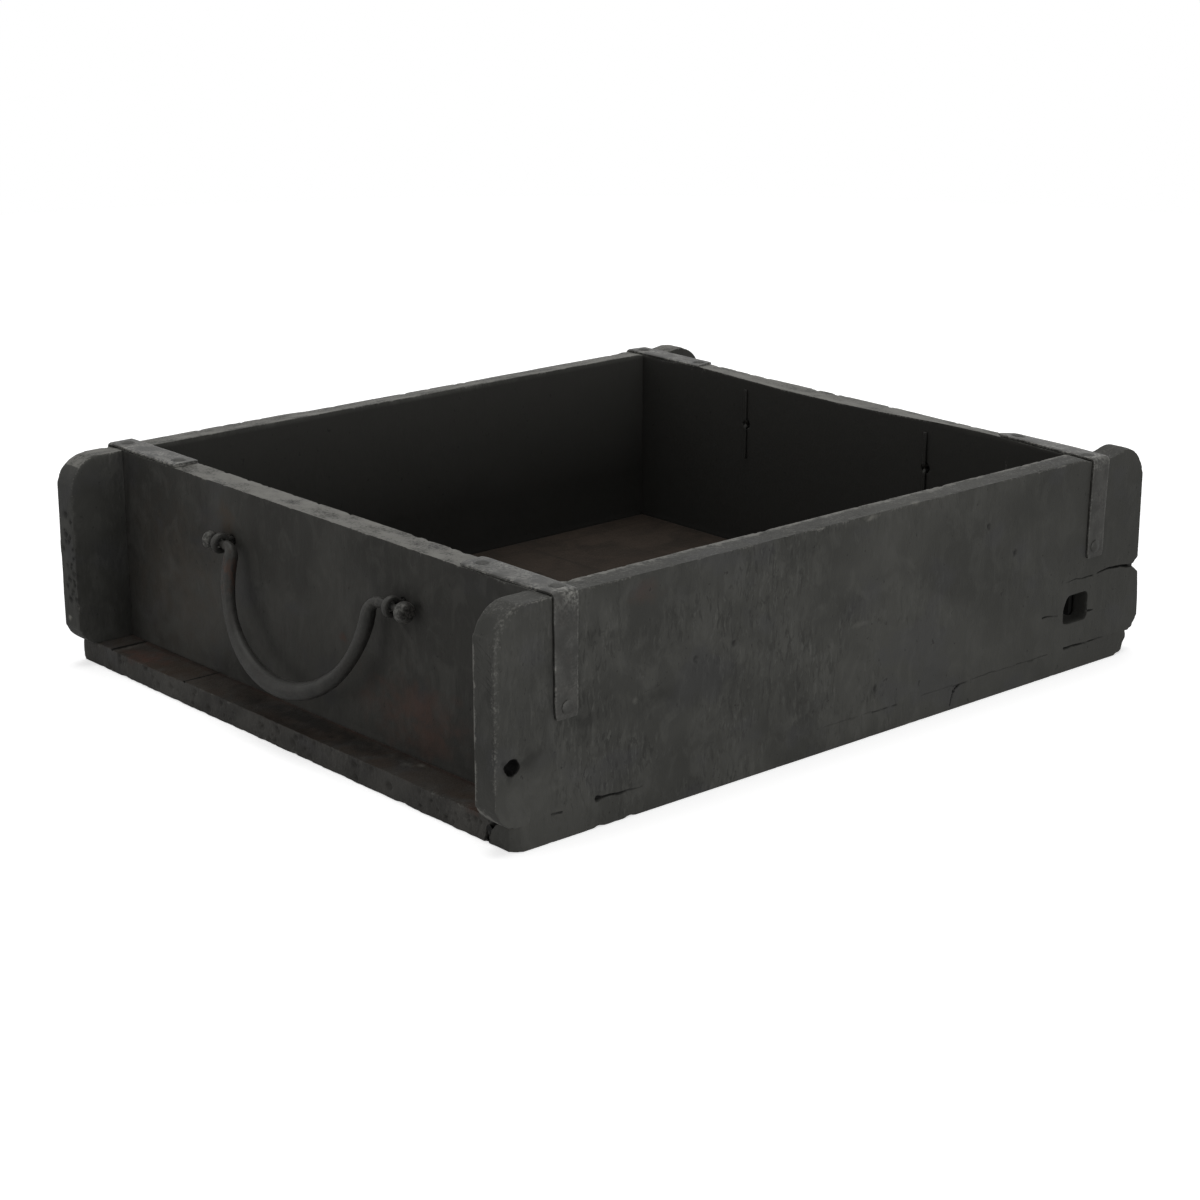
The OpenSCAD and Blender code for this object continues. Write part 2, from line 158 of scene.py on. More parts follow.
class Skin:
    """The vertices of a mesh in millimetres, and the ways in which age changes them."""

    def __init__(self, mesh):
        self.mesh = mesh
        co = np.empty(len(mesh.vertices) * 3)
        mesh.vertices.foreach_get("co", co)
        self.co = co.reshape(-1, 3) / MM
        ends = np.empty(len(mesh.edges) * 2, np.int64)
        mesh.edges.foreach_get("vertices", ends)
        self.a, self.b = ends.reshape(-1, 2).T
        self.degree = np.bincount(ends, minlength=len(self.co))
        self.worn = np.zeros(len(self.co))
        self.cut = np.zeros(len(self.co))
        self.level = np.zeros(len(self.co), bool)
        self.no = self.normals()

    def save(self):
        self.mesh.vertices.foreach_set("co", (self.co * MM).ravel())
        self.mesh.update()

    def normals(self):
        """The directions out of the surface; level vertices only have a level one."""
        self.save()
        no = np.empty(len(self.co) * 3)
        self.mesh.vertex_normals.foreach_get("vector", no)
        no = no.reshape(-1, 3)
        no[self.level, 2] = 0
        return no / np.maximum(np.linalg.norm(no, axis=1), 1e-6)[:, None]

    def near(self, points, reach):
        """The numbers of the vertices in a box around some points."""
        points = np.atleast_2d(points)
        inside = (self.co > points.min(0) - reach) & (self.co < points.max(0) + reach)
        return np.flatnonzero(inside.all(1))

    def snap(self, axis, value, reach, where=True):
        """Brings the vertices within reach of a plane onto it."""
        self.co[(np.abs(self.co[:, axis] - value) < reach) & where, axis] = value

    def spread(self, values):
        """The mean of each vertex's neighbours."""
        n = len(self.co)
        sums = [
            np.bincount(self.a, v[self.b], n) + np.bincount(self.b, v[self.a], n)
            for v in values.reshape(n, -1).T
        ]
        return (np.stack(sums, -1) / self.degree[:, None]).reshape(values.shape)

    def relax(self, weight, rounds):
        """Rounds the arrises and keeps in worn how far each vertex was taken down."""
        before, no = self.co.copy(), self.normals()
        for _ in range(rounds):
            self.co += (self.spread(self.co) - self.co) * weight[:, None] * 0.6
        self.worn += np.maximum(0, np.sum((before - self.co) * no, axis=1))
        self.no = self.normals()

    def sink(self, depth):
        self.co -= self.no * depth[:, None]

    def dent(self, centre, radius, depth):
        i = self.near(centre, radius)
        d = np.linalg.norm(self.co[i] - centre, axis=1) / radius
        self.co[i] -= self.no[i] * (depth * np.clip(1 - d ** 2, 0, 1) ** 2)[:, None]

    def chip(self, centre, radius, depth, towards):
        """Takes a ragged flake off an arris, towards the inside of the board."""
        i = self.near(centre, 1.5 * radius)
        d = np.linalg.norm(self.co[i] - centre, axis=1) / radius
        d += 0.3 * noise(self.co[i] / (radius * 0.45), 90)
        taken = np.clip(1 - d ** 2, 0, 1) ** 1.5
        self.co[i] += np.asarray(towards) * (depth * taken)[:, None]
        self.worn[i] += 0.1 * taken

    def carve(self, line, widths, depths):
        """A crack along a line; widths and depths are given at its start and its end."""
        i = self.near(line, 3 + max(widths))
        wander = np.stack([noise(self.co[i] / 4, 70 + k) for k in range(3)], -1) * 0.35
        d, t = line_distance(self.co[i] + wander, line)
        width = widths[0] + (widths[1] - widths[0]) * t
        depth = depths[0] + (depths[1] - depths[0]) * t
        cut = np.clip(1 - d / width, 0, 1) ** 0.7
        self.co[i] -= self.no[i] * (depth * cut)[:, None]
        # Deeper cracks keep a darker cut, which the paint shows as painted shade
        self.cut[i] = np.maximum(self.cut[i], step(cut, 0.05, 0.6) * np.clip(depth / 0.8, 0.15, 1))

    def keep(self, name, values):
        """Stores a value from 0 to 1 at each vertex for the material."""
        attribute = self.mesh.attributes.new(name, "FLOAT", "POINT")
        attribute.data.foreach_set("value", np.clip(values, 0, 1).astype(np.float32))


def new_object(name, mesh):
    obj = bpy.data.objects.new(name, mesh)
    bpy.context.scene.collection.objects.link(obj)
    return obj


def even_mesh(name, node, voxel, fillers=()):
    """A new object with a CAD node's solid as an even mesh; fillers are boxes that close cuts in it."""
    bm = bmesh.new()
    bm.from_mesh(frame["nodes"][node].data)
    bmesh.ops.remove_doubles(bm, verts=bm.verts, dist=1e-6)
    for low, high in fillers:
        for v in bmesh.ops.create_cube(bm, size=1)["verts"]:
            v.co = Vector([(low[i] if v.co[i] < 0 else high[i]) * MM for i in range(3)])
    mesh = bpy.data.meshes.new(name)
    bm.to_mesh(mesh)
    bm.free()
    obj = new_object(name, mesh)
    remesh = obj.modifiers.new("even", "REMESH")
    remesh.mode = "VOXEL"
    remesh.voxel_size = voxel * MM
    graph = bpy.context.evaluated_depsgraph_get()
    obj.data = bpy.data.meshes.new_from_object(obj.evaluated_get(graph))
    obj.modifiers.clear()
    bpy.data.meshes.remove(mesh)
    obj.data.name = name
    return obj


def refine(mesh, lines, reaches=(3.0, 1.6)):
    """Cuts the faces near the lines finer, once for each reach in millimetres."""
    bm = bmesh.new()
    bm.from_mesh(mesh)
    for reach in reaches:
        centres = np.array([f.calc_center_median() for f in bm.faces]) / MM
        near = np.zeros(len(centres), bool)
        for line in lines:
            near |= line_distance(centres, line)[0] < reach
        edges = dict.fromkeys(e for f, hit in zip(bm.faces, near) if hit for e in f.edges)
        bmesh.ops.subdivide_edges(bm, edges=list(edges), cuts=1, use_grid_fill=True)
    bm.to_mesh(mesh)
    bm.free()


def finish_piece(obj, node, body, material):
    """Gives a piece its material and says where it belongs."""
    obj.data.materials.clear()
    obj.data.materials.append(material)
    obj.data.polygons.foreach_set("use_smooth", [True] * len(obj.data.polygons))
    obj.data.set_sharp_from_angle(angle=SHARP_TURN)
    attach(obj, body)
    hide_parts(node)


class Nodes:
    """Short ways to add nodes to a material."""

    def __init__(self, name):
        self.material = bpy.data.materials.new(name)
        self.material.use_nodes = True
        self.tree = self.material.node_tree
        self.shader = self.tree.nodes["Principled BSDF"]
        self.place = self.tree.nodes.new("ShaderNodeTexCoord").outputs["Object"]

    def put(self, socket, value):
        if isinstance(value, bpy.types.NodeSocket):
            self.tree.links.new(value, socket)
        else:
            socket.default_value = value

    def math(self, operation, *values):
        node = self.tree.nodes.new("ShaderNodeMath")
        node.operation = operation
        for socket, value in zip(node.inputs, values):
            self.put(socket, value)
        return node.outputs[0]

    def stretched(self, size):
        """The object's own coordinates in units of three lengths in millimetres."""
        node = self.tree.nodes.new("ShaderNodeVectorMath")
        node.operation = "DIVIDE"
        self.put(node.inputs[0], self.place)
        node.inputs[1].default_value = [s * MM for s in size]
        return node.outputs[0]

    def along_x(self):
        """Where a point lies along the side boards, in metres from the middle of the box."""
        node = self.tree.nodes.new("ShaderNodeSeparateXYZ")
        self.put(node.inputs[0], self.place)
        return node.outputs["X"]

    def noise(self, size, detail=4.0, rough=0.55, warp=0.0):
        node = self.tree.nodes.new("ShaderNodeTexNoise")
        self.put(node.inputs["Vector"], self.stretched(size))
        node.inputs["Scale"].default_value = 1.0
        node.inputs["Detail"].default_value = detail
        node.inputs["Roughness"].default_value = rough
        node.inputs["Distortion"].default_value = warp
        return node.outputs[0]

    def between(self, value, low, high, most=1.0):
        """0 at low and most at high, with a smooth run between; low may be the greater."""
        node = self.tree.nodes.new("ShaderNodeMapRange")
        node.interpolation_type = "SMOOTHSTEP"
        self.put(node.inputs["Value"], value)
        node.inputs["From Min"].default_value = low
        node.inputs["From Max"].default_value = high
        node.inputs["To Max"].default_value = most
        return node.outputs["Result"]

    def kept(self, name):
        node = self.tree.nodes.new("ShaderNodeAttribute")
        node.attribute_name = name
        return node.outputs["Fac"]

    def mix(self, share, a, b):
        node = self.tree.nodes.new("ShaderNodeMix")
        node.data_type = "RGBA"
        self.put(node.inputs["Factor"], share)
        for socket, value in ((node.inputs[6], a), (node.inputs[7], b)):
            self.put(socket, (*value, 1) if isinstance(value, tuple) else value)
        return node.outputs[2]

    def finish(self, colour, roughness, height, depth_mm):
        bump = self.tree.nodes.new("ShaderNodeBump")
        bump.inputs["Distance"].default_value = depth_mm * MM
        self.put(bump.inputs["Height"], height)
        self.put(self.shader.inputs["Base Color"], colour)
        self.put(self.shader.inputs["Roughness"], roughness)
        self.put(self.shader.inputs["Normal"], bump.outputs["Normal"])
        return self.material


# Paint from dark to light on the side boards, the end boards and the base
SIDE_TONES = (0.032, 0.0319, 0.029), (0.048, 0.0477, 0.0435), (0.075, 0.0745, 0.0685)
END_TONES = (0.027, 0.0263, 0.0238), (0.046, 0.0448, 0.0406), (0.07, 0.0683, 0.0624)
BASE_TONES = (0.0275, 0.0262, 0.024), (0.0495, 0.0474, 0.0433), (0.08, 0.0768, 0.0705)

# Paint inside the box, darker there as painted shade, wood where the paint is thin, and what lies on the
# paint
INSIDE_WALL_SHADED = (0.0255, 0.025, 0.0229)
INSIDE_FLOOR_SHADED = (0.021, 0.0164, 0.0127)
OLD_WOOD = (0.052, 0.04, 0.03)
DIRTY_WOOD = (0.036, 0.0275, 0.0215)
BLUE_BLOOM = (0.042, 0.042, 0.048)
RED_STAIN = (0.062, 0.034, 0.026)
PINHOLE = (0.008, 0.008, 0.0075)
RUBBED_AND_HIGHLIGHT = (0.16, 0.157, 0.144)
CHALK = (0.22, 0.215, 0.19)
SOOT_AND_SHADE = (0.005, 0.005, 0.0047)
PAINT_SHEEN = 0.1

# Iron, its rubbed edges, its rust, and the paint on it inside the box, darker there as painted shade;
# the rubbed colours also paint a sheen on the straps' top arms and a highlight on the knobs
STRAP_BLACK = (0.034, 0.0337, 0.0312)
STRAP_RUB_AND_SHEEN = (0.2, 0.197, 0.182)
HANDLE_BLACK = (0.024, 0.0236, 0.0218)
PIN_BLACK = (0.034, 0.0334, 0.031)
HANDLE_RUB_AND_HIGHLIGHT = (0.1, 0.098, 0.09)
RUST = (0.054, 0.032, 0.024)
IRON_INSIDE_SHADED = (0.0245, 0.024, 0.022)
IRON_SHEEN = 0.16
IRON_METAL = 0.2


def painted_wood(name, fleck, share, tones, inside_tone, bare, depth_mm):
    """Worn matte paint on wood.

    fleck is the size in millimetres of the small marks along the grain, and share the strength of these and
    of the streaks. tones run from dark to light, inside_tone is that of the smoother, darker paint inside
    the box, whose darkness is painted shade, and bare that of bare wood. The marks fade to the right and on
    the left ears.
    """
    n = Nodes(name)
    dark, mid, light = tones
    cloud = n.noise((52, 52, 46), 3, 0.5, 0.5)
    blotch = n.noise((9, 9, 13), 4, 0.6, 0.7)
    busy = n.between(n.noise((30, 30, 24), 3, 0.5, 0.4), 0.36, 0.62, share)
    busy = n.math("MULTIPLY", busy, n.between(n.along_x(), 0.14, -0.06))
    calm_ear = n.math("MULTIPLY_ADD", n.between(n.along_x(), -0.155, -0.125), 0.6, 0.4)
    busy = n.math("MULTIPLY", busy, calm_ear)
    light_fleck = n.noise(fleck, 3, 0.6, 0.5)
    dark_fleck = n.noise(tuple(1.3 * s for s in fleck), 3, 0.6, 0.8)
    grain = n.noise((0.7, 0.7, 1.0), 4, 0.65)
    pinhole = n.noise((2.2, 2.2, 3.0), 3, 0.6)
    streak = n.noise((3.4, 3.4, 19), 3, 0.6, 0.7)
    streaky = n.between(n.noise((30, 30, 26), 2, 0.5, 0.5), 0.4, 0.62, share)
    worn_light, worn_dark = tuple(1.3 * c for c in light), tuple(0.5 * c for c in dark)
    colour = n.mix(n.between(cloud, 0.32, 0.66), dark, mid)
    colour = n.mix(n.between(blotch, 0.44, 0.7, 0.34), colour, light)
    colour = n.mix(n.math("MULTIPLY", n.between(streak, 0.5, 0.7, 0.35), streaky), colour, light)
    colour = n.mix(n.math("MULTIPLY", n.between(streak, 0.5, 0.32, 0.5), streaky), colour, dark)
    colour = n.mix(n.between(n.along_x(), 0.0, 0.16, 0.5), colour, dark)
    colour = n.mix(n.math("MULTIPLY", n.between(light_fleck, 0.52, 0.72, 0.5), busy), colour, worn_light)
    colour = n.mix(n.math("MULTIPLY", n.between(dark_fleck, 0.5, 0.66, 0.8), busy), colour, worn_dark)
    colour = n.mix(n.between(n.noise((24, 24, 17), 2), 0.54, 0.68, 0.2), colour, BLUE_BLOOM)
    # Inside the box the paint is plainer and darker; the darkness is painted shade
    colour = n.mix(n.math("MULTIPLY", n.kept("inside"), 0.9), colour, inside_tone)
    stain = n.between(n.noise((17, 14, 11), 5, 0.65, 0.6), 0.3, 0.62)
    colour = n.mix(n.math("MULTIPLY", stain, n.kept("brown")), colour, bare)
    colour = n.mix(n.math("MULTIPLY", stain, n.kept("red")), colour, RED_STAIN)
    colour = n.mix(n.between(pinhole, 0.67, 0.75, 0.5), colour, PINHOLE)
    ragged = n.math("ADD", n.kept("wear"), n.math("MULTIPLY", n.noise((1.1, 1.1, 1.1), 3, 0.75), 2.0))
    rubbed = n.math("MULTIPLY", n.between(ragged, 1.15, 1.75), n.math("POWER", n.kept("wear"), 0.5))
    # Rubbed paint; on the left front ear part of this is painted highlight
    colour = n.mix(rubbed, colour, RUBBED_AND_HIGHLIGHT)
    colour = n.mix(n.kept("pale"), colour, CHALK)
    # The dark marks are soot and dirt, and also painted shade in holes, cracks and seams and a painted
    # shadow on the ledge
    colour = n.mix(n.kept("dark"), colour, SOOT_AND_SHADE)
    height = n.math("MULTIPLY_ADD", dark_fleck, -0.8 * share, n.math("MULTIPLY_ADD", grain, 0.5, blotch))
    n.shader.inputs["Specular IOR Level"].default_value = PAINT_SHEEN
    return n.finish(colour, n.math("MULTIPLY_ADD", blotch, 0.25, 0.5), height, depth_mm)


def iron(name, base, edge, rust_share):
    """Blackened iron with a dull sheen, rubbed edges and a little rust, painted over inside the box, darker
    there as painted shade.
    """
    n = Nodes(name)
    patches = n.noise((7, 7, 9), 5, 0.6, 0.3)
    fine = n.noise((1.1, 1.1, 1.1), 4, 0.6)
    colour = n.mix(n.between(patches, 0.35, 0.68), base, tuple(1.45 * c for c in base))
    rubbed = n.math("MULTIPLY", n.between(fine, 0.36, 0.66), n.kept("wear"))
    colour = n.mix(rubbed, colour, edge)
    rust = n.between(n.noise((5, 5, 6), 4, 0.7), 0.48, 0.6)
    rust = n.math("MULTIPLY", rust, n.math("ADD", n.kept("brown"), rust_share))
    colour = n.mix(rust, colour, RUST)
    # Inside the box the iron takes the darker paint of the walls, which is painted shade
    colour = n.mix(n.kept("inside"), colour, IRON_INSIDE_SHADED)
    n.shader.inputs["Metallic"].default_value = IRON_METAL
    n.shader.inputs["Specular IOR Level"].default_value = IRON_SHEEN
    return n.finish(colour, n.math("MULTIPLY_ADD", patches, 0.25, 0.36), n.math("ADD", fine, patches), 0.1)


board_paint = painted_wood("board_paint", (1.5, 1.5, 4.5), 0.65, SIDE_TONES, INSIDE_WALL_SHADED, OLD_WOOD, 0.18)
end_paint = painted_wood("end_paint", (2, 2, 7), 0.25, END_TONES, INSIDE_WALL_SHADED, OLD_WOOD, 0.12)
base_paint = painted_wood("base_paint", (7, 1.5, 2.0), 0.9, BASE_TONES, INSIDE_FLOOR_SHADED, DIRTY_WOOD, 0.35)
strap_iron = iron("strap_iron", STRAP_BLACK, STRAP_RUB_AND_SHEEN, 0.03)
handle_iron = iron("handle_iron", HANDLE_BLACK, HANDLE_RUB_AND_HIGHLIGHT, 0.04)
pin_iron = iron("pin_iron", PIN_BLACK, HANDLE_RUB_AND_HIGHLIGHT, 0.03)

# Size of the upright ridges that saw and weather left in the wood, in millimetres
RIDGES = np.array((3.0, 3.0, 16))


def worn_face(p, seed):
    """How far age has taken a painted face down, in millimetres, never outwards."""
    broad = 0.07 * (1 + fractal(p, 46, seed, 2) / 1.5)
    ridges = 0.03 * (1 + fractal(p, RIDGES, seed + 10, 2) / 1.5)
    rough = 0.03 * (1 + fractal(p, 2.2, seed + 20, 2) / 1.5)
    return broad + ridges + rough


def in_joint(p):
    """1 at the foot of a board and where one is let into another, where they stay sharp; 0 elsewhere."""
    x, y, z = np.abs(p).T
    foot = 1 - step(z, BASE_Z + 0.6, BASE_Z + 2.5)
    beside_end = 1 - step(np.abs(x - END_MID_X), END_HALF + 1, END_HALF + 4)
    beside_side = 1 - step(np.abs(y - BACK_IN_Y), 2.5, 7)
    return np.maximum(foot, beside_end * beside_side)


# Marks the inside of the box, where the paint is made darker as painted shade
def inside_box(p):
    """1 on the faces inside the box, fading out at its top edges, and 0 elsewhere."""
    within = (np.abs(p[:, 0]) < RIGHT_IN_X + 0.5) & (np.abs(p[:, 1]) < BACK_IN_Y + 0.5)
    return within * step(p[:, 2], BASE_Z - 1, BASE_Z - 0.5) * (1 - step(p[:, 2], TOP_Z - 2.4, TOP_Z - 1.2))


def paint_values(skin, seed, marks, scuffs, tint, rub, top_rub, rub_size):
    """What the paint needs to know at each vertex; the arguments are those of worn_board."""
    values = {name: np.zeros(len(skin.co)) for name in ("brown", "red", "dark", "pale")}
    if tint:
        values["brown"], values["red"], values["dark"] = tint(skin)
    # Cracks get painted shade, darker the deeper they are
    values["dark"] = np.maximum(values["dark"], 0.95 * skin.cut)
    for name, centre, radii, strength in marks:
        i = skin.near(centre, 2 * max(radii))
        d = np.linalg.norm((skin.co[i] - centre) / np.array(radii), axis=1)
        d += 0.4 * fractal(skin.co[i], min(radii) * 0.9, seed + 80, 2)
        values[name][i] = np.maximum(values[name][i], strength * np.clip(1.2 * (1 - d), 0, 1))
    wear = rub * skin.worn / 0.3
    for _ in range(2):
        wear = 0.5 * (wear + np.maximum(wear, skin.spread(wear)))
    wear *= 0.45 + 0.5 * fractal(skin.co, 9, seed + 60, 2)
    top = (skin.no[:, 2] > 0.7) & (skin.co[:, 2] > TOP_Z - 4)
    bare_top = 0.66 + 0.28 * fractal(skin.co, np.array(rub_size), seed + 65, 3)
    wear = np.maximum(wear, top_rub * top * bare_top)
    for line, width, strength in scuffs:
        i = skin.near(line, 2 * width)
        d = line_distance(skin.co[i], line)[0] / width + 0.5 * fractal(skin.co[i], 3, seed + 70, 2)
        wear[i] = np.maximum(wear[i], strength * np.clip(1.2 - d, 0, 1))
    values["wear"] = wear
    values["inside"] = inside_box(skin.co)
    return values


def worn_board(
    node, voxel, material, seed, shape=None, level=None, crisp=None, cracks=(), dents=(), chips=(),
    fillers=(), marks=(), scuffs=(), tint=None, rub=1.0, top_rub=0.0, rub_size=(8, 3, 3),
):
    """A painted board that takes a CAD node's place.

    shape changes the skin before it wears, level tells which vertices only wear sideways and crisp which
    keep clean arrises. Cracks are (line, widths, depths), dents (centre, radius, depth), chips (centre,
    radius, depth, direction), marks (name, centre, radii, strength) and scuffs (line, width, strength).
    tint gives the brown, red and dark of each vertex, rub says how bare its arrises are, top_rub how bare
    its top is and rub_size how large the bare places there are.
    """
    obj = even_mesh(node + "_worn", node, voxel, fillers)
    lines = [crack[0] for crack in cracks] + [[dent[0]] for dent in dents if dent[1] < 4]
    if lines:
        refine(obj.data, lines)
    skin = Skin(obj.data)
    for axis, faces in enumerate(zip(*box_mm(node))):
        for face in faces:
            skin.snap(axis, face, 0.6 * voxel)
    joint = in_joint(skin.co)
    if shape:
        shape(skin)
    weight = np.clip(0.5 + 0.3 * fractal(skin.co, 14, seed + 40, 2), 0.1, 1)
    weight *= 1 - 0.95 * joint
    if level:
        skin.level = level(skin.co)
        weight[skin.level] = 0
    if crisp:
        weight[crisp(skin.co)] *= 0.3
    skin.relax(weight, 4)
    if crisp:
        skin.worn[crisp(skin.co)] = 0
    skin.sink((1 - joint) * worn_face(skin.co, seed))
    for chip in chips:
        skin.chip(*chip)
    for dent in dents:
        skin.dent(*dent)
    for crack in cracks:
        skin.carve(*crack)
    skin.co[:, 2] = np.maximum(skin.co[:, 2], 0)
    skin.save()
    for name, value in paint_values(skin, seed, marks, scuffs, tint, rub, top_rub, rub_size).items():
        skin.keep(name, value)
    finish_piece(obj, node, "box", material)


def nicks(start, end, towards, count, seed, radius=(0.8, 2.4), depth=(0.1, 0.4)):
    """Small flakes off one arris, at places and sizes that a seed fixes."""
    rng = np.random.default_rng(seed)
    start, end = np.array(start, float), np.array(end, float)
    return [
        (start + (end - start) * rng.uniform(0.02, 0.98), rng.uniform(*radius), rng.uniform(*depth), towards)
        for _ in range(count)
    ]


def on_front(points, y=FRONT_Y):
    """Points of the front board from pairs of x and z, on its outer face unless y says otherwise."""
    return [(x, y, z) for x, z in points]


# The right-hand end has worn lower, more at its outer arris than at its inner one
def right_sag(p):
    """How far the top of the wood lies below its old height at the points p."""
    x, y, z = p.T
    middle = 1.6 * (1 - step(np.abs(y - 12), 10, 85))
    at_back = 0.8 * step(y, 92, 105)
    at_front = 1.5 * np.clip((-y - 84) / 46, 0, 1)
    inner = middle + at_back + at_front
    outer = 1.2 + 0.4 * (1 - step(y, 50, 85)) + 0.4 * step(-y, 20, 50)
    across = np.clip((x - RIGHT_IN_X) / (RIGHT_X - RIGHT_IN_X), 0, 1)
    here = step(x, RIGHT_IN_X - 4, RIGHT_IN_X) * (1 - step(x, RIGHT_X, RIGHT_X + 11))
    return (inner + (np.maximum(outer, inner) - inner) * across) * here * step(z, TOP_Z - 16, TOP_Z)


def let_down(skin):
    """Lowers the top of a board at the right-hand end."""
    skin.co[:, 2] -= right_sag(skin.co)


def snap_housings(skin):
    """Straight walls in the housings of a side board."""
    housed = np.abs(skin.co[:, 1]) < HOUSED_Y + 0.5
    for wall in (END_MID_X - END_HALF - HOUSING_GAP, END_MID_X + END_HALF + HOUSING_GAP):
        skin.snap(0, wall, 0.6 * BOARD_VOXEL, housed)
        skin.snap(0, -wall, 0.6 * BOARD_VOXEL, housed)


# Front side board: a split ear, two holes, cracks at the seam with the base, pits and rubbed places
FRONT_SEED = 1
HOLE = np.array((126.3, 24.9))
HOLE_HALF = 5.6
PEG = np.array((-157.8, 30))
PEG_R = 2.8
SPLIT = [(161, 35.5), (152, 36.4), (143.6, 37.0)]
SPLIT_END = [(143.6, 37.0), (133.8, 36.5), (122.4, 36.6), (116, 36.4)]
SPLIT_FILLER = (115, FRONT_Y, 32), (159.4, FRONT_IN_Y, 42)
SEAM_CRACKS = [
    ([(-121.5, 10.2), (-120, 10.0)], (1.2, 0.8), (2.0, 1.5)),
    ([(-121.5, 10.1), (-113.7, 9.8), (-101.7, 9.5)], (0.7, 0.2), (1.5, 0.2)),
    ([(-141.5, 9.8), (-137.1, 9.6)], (0.35, 0.4), (0.4, 0.6)),
    ([(119.1, 9.8), (131.3, 9.5), (141.9, 9.3), (154, 9.2)], (0.5, 0.1), (1.0, 0.05)),
    ([(36.3, 9.6), (58.4, 9.1), (74.8, 9.5), (91.6, 9.4), (108.9, 9.2)], (0.25, 0.3), (0.25, 0.35)),
    ([(-17.9, 9.6), (5.3, 9.3), (23.6, 9.2)], (0.25, 0.3), (0.2, 0.3)),
]
FRONT_CRACKS = [
    ([(105, 24.9), (114.1, 24.0)], (0.4, 0.3), (0.7, 0.3)),
    ([(131, 22.3), (135.6, 22.0)], (0.8, 0.3), (1.4, 0.5)),
    ([(-130, 36.8), (-122, 40.2)], (0.5, 0.3), (0.2, 0.15)),
    ([(-88, 36.6), (-80, 38.2)], (0.5, 0.3), (0.2, 0.15)),
    ([(-101, 42.4), (-94, 43.2)], (0.3, 0.5), (0.15, 0.2)),
]
seam_cracks = [(on_front(line), widths, depths) for line, widths, depths in SEAM_CRACKS]
front_cracks = seam_cracks + [(on_front(line), widths, depths) for line, widths, depths in FRONT_CRACKS]
for face in (FRONT_Y, FRONT_IN_Y):
    front_cracks += [
        (on_front(SPLIT, face), (0.75, 0.4), (4.0, 1.0)),
        (on_front(SPLIT_END, face), (0.4, 0.2), (0.8, 0.1)),
    ]
LEFT_TIP_X = box_mm("front_side_board")[0][0]
SAW_MARKS = [60, 62.4, 64.1, 67, 70.2, 72]
front_cracks += [
    ([(LEFT_TIP_X, FRONT_Y + 1.5, z - 4), (LEFT_TIP_X, FRONT_IN_Y - 2.5, z)], (0.3, 0.25), (0.15, 0.1))
    for z in SAW_MARKS
]
FRONT_PITS = [(-77.7, 48.7), (-59.6, 50.8), (86.9, 54.5), (11.9, 17.8), (71, 67.7)]
front_dents = [((x, FRONT_Y, z), 1.6, 0.5) for x, z in FRONT_PITS]
front_dents += [((-5, FRONT_Y, 43), 9, 0.25), ((30, FRONT_Y, 30), 22, 0.3), ((-90, FRONT_Y, 38), 16, 0.3)]
front_marks = [("dark", (x, FRONT_Y, z), (1.5, 3, 1.8), 0.6) for x, z in FRONT_PITS]
front_marks += [
    ("dark", (-151.5, FRONT_Y, 31.2), (7, 3, 4), 0.4),
    # Painted shade in the peg hole, reaching onto its rim
    ("dark", (PEG[0], FRONT_Y, PEG[1]), (4.4, 3, 4.4), 0.8),
    ("dark", (-93, FRONT_Y, 39.5), (14, 3, 5), 0.25),
    ("dark", (-125, FRONT_Y, 38.5), (7, 3, 4), 0.35),
    ("dark", (-122, FRONT_Y, 68), (6, 3, 6), 0.25),
    ("brown", (-101, FRONT_Y, 77), (9, 3, 5), 0.2),
    ("pale", (-105.1, FRONT_Y, 40.5), (2.0, 3, 1.4), 0.15),
    ("pale", (3, FRONT_Y, 44.2), (6, 3, 1.2), 0.1),
    ("pale", (8, FRONT_Y, TOP_Z - 1.2), (4, 2, 1.2), 0.35),
    ("pale", (31, FRONT_Y + 1, TOP_Z), (4, 1.5, 1.2), 0.35),
]
front_chips = nicks((-150, FRONT_Y, TOP_Z), (150, FRONT_Y, TOP_Z), (0, 0.5, -0.8), 30, 5)
front_chips += nicks((-150, FRONT_IN_Y, TOP_Z), (150, FRONT_IN_Y, TOP_Z), (0, -0.5, -0.8), 20, 6)
front_chips += [
    ((PEG[0] - PEG_R, FRONT_Y, PEG[1] + 0.8), 1.8, 0.5, (-0.9, 0.3, 0.2)),
    ((PEG[0] + PEG_R, FRONT_Y, PEG[1] - 0.6), 1.8, 0.4, (0.9, 0.3, -0.2)),
]
# Wear along the left ear's inner arris, partly wear and partly painted highlight along its front arris,
# painted highlight on its bottom chamfer, and wear along the top's inner arris
front_scuffs_and_highlights = [
    ([(LEFT_TIP_X, FRONT_IN_Y, 70), (LEFT_TIP_X, FRONT_IN_Y, 18), (LEFT_TIP_X + 2.6, FRONT_IN_Y, 11.6),
      (LEFT_TIP_X + 9, FRONT_IN_Y, BASE_Z)], 1.3, 0.8),
    ([(LEFT_TIP_X, FRONT_Y, 25), (LEFT_TIP_X, FRONT_Y, 70), (LEFT_TIP_X + 3.8, FRONT_Y, 80),
      (LEFT_TIP_X + 11, FRONT_Y, TOP_Z)], 2.4, 0.3),
    ([(LEFT_TIP_X + 1, FRONT_IN_Y, 15), (LEFT_TIP_X + 4, FRONT_Y + 3, 10.5)], 2.2, 0.8),
    ([(-128, FRONT_IN_Y, TOP_Z), (RIGHT_IN_X - 4, FRONT_IN_Y, TOP_Z)], 3.6, 0.75),
]


def front_rims(p):
    """Round the two holes, where the paint is whole."""
    square = np.abs(p[:, [0, 2]] - HOLE).max(1) < HOLE_HALF + 5
    return square | (np.linalg.norm(p[:, [0, 2]] - PEG, axis=1) < PEG_R + 2.5)


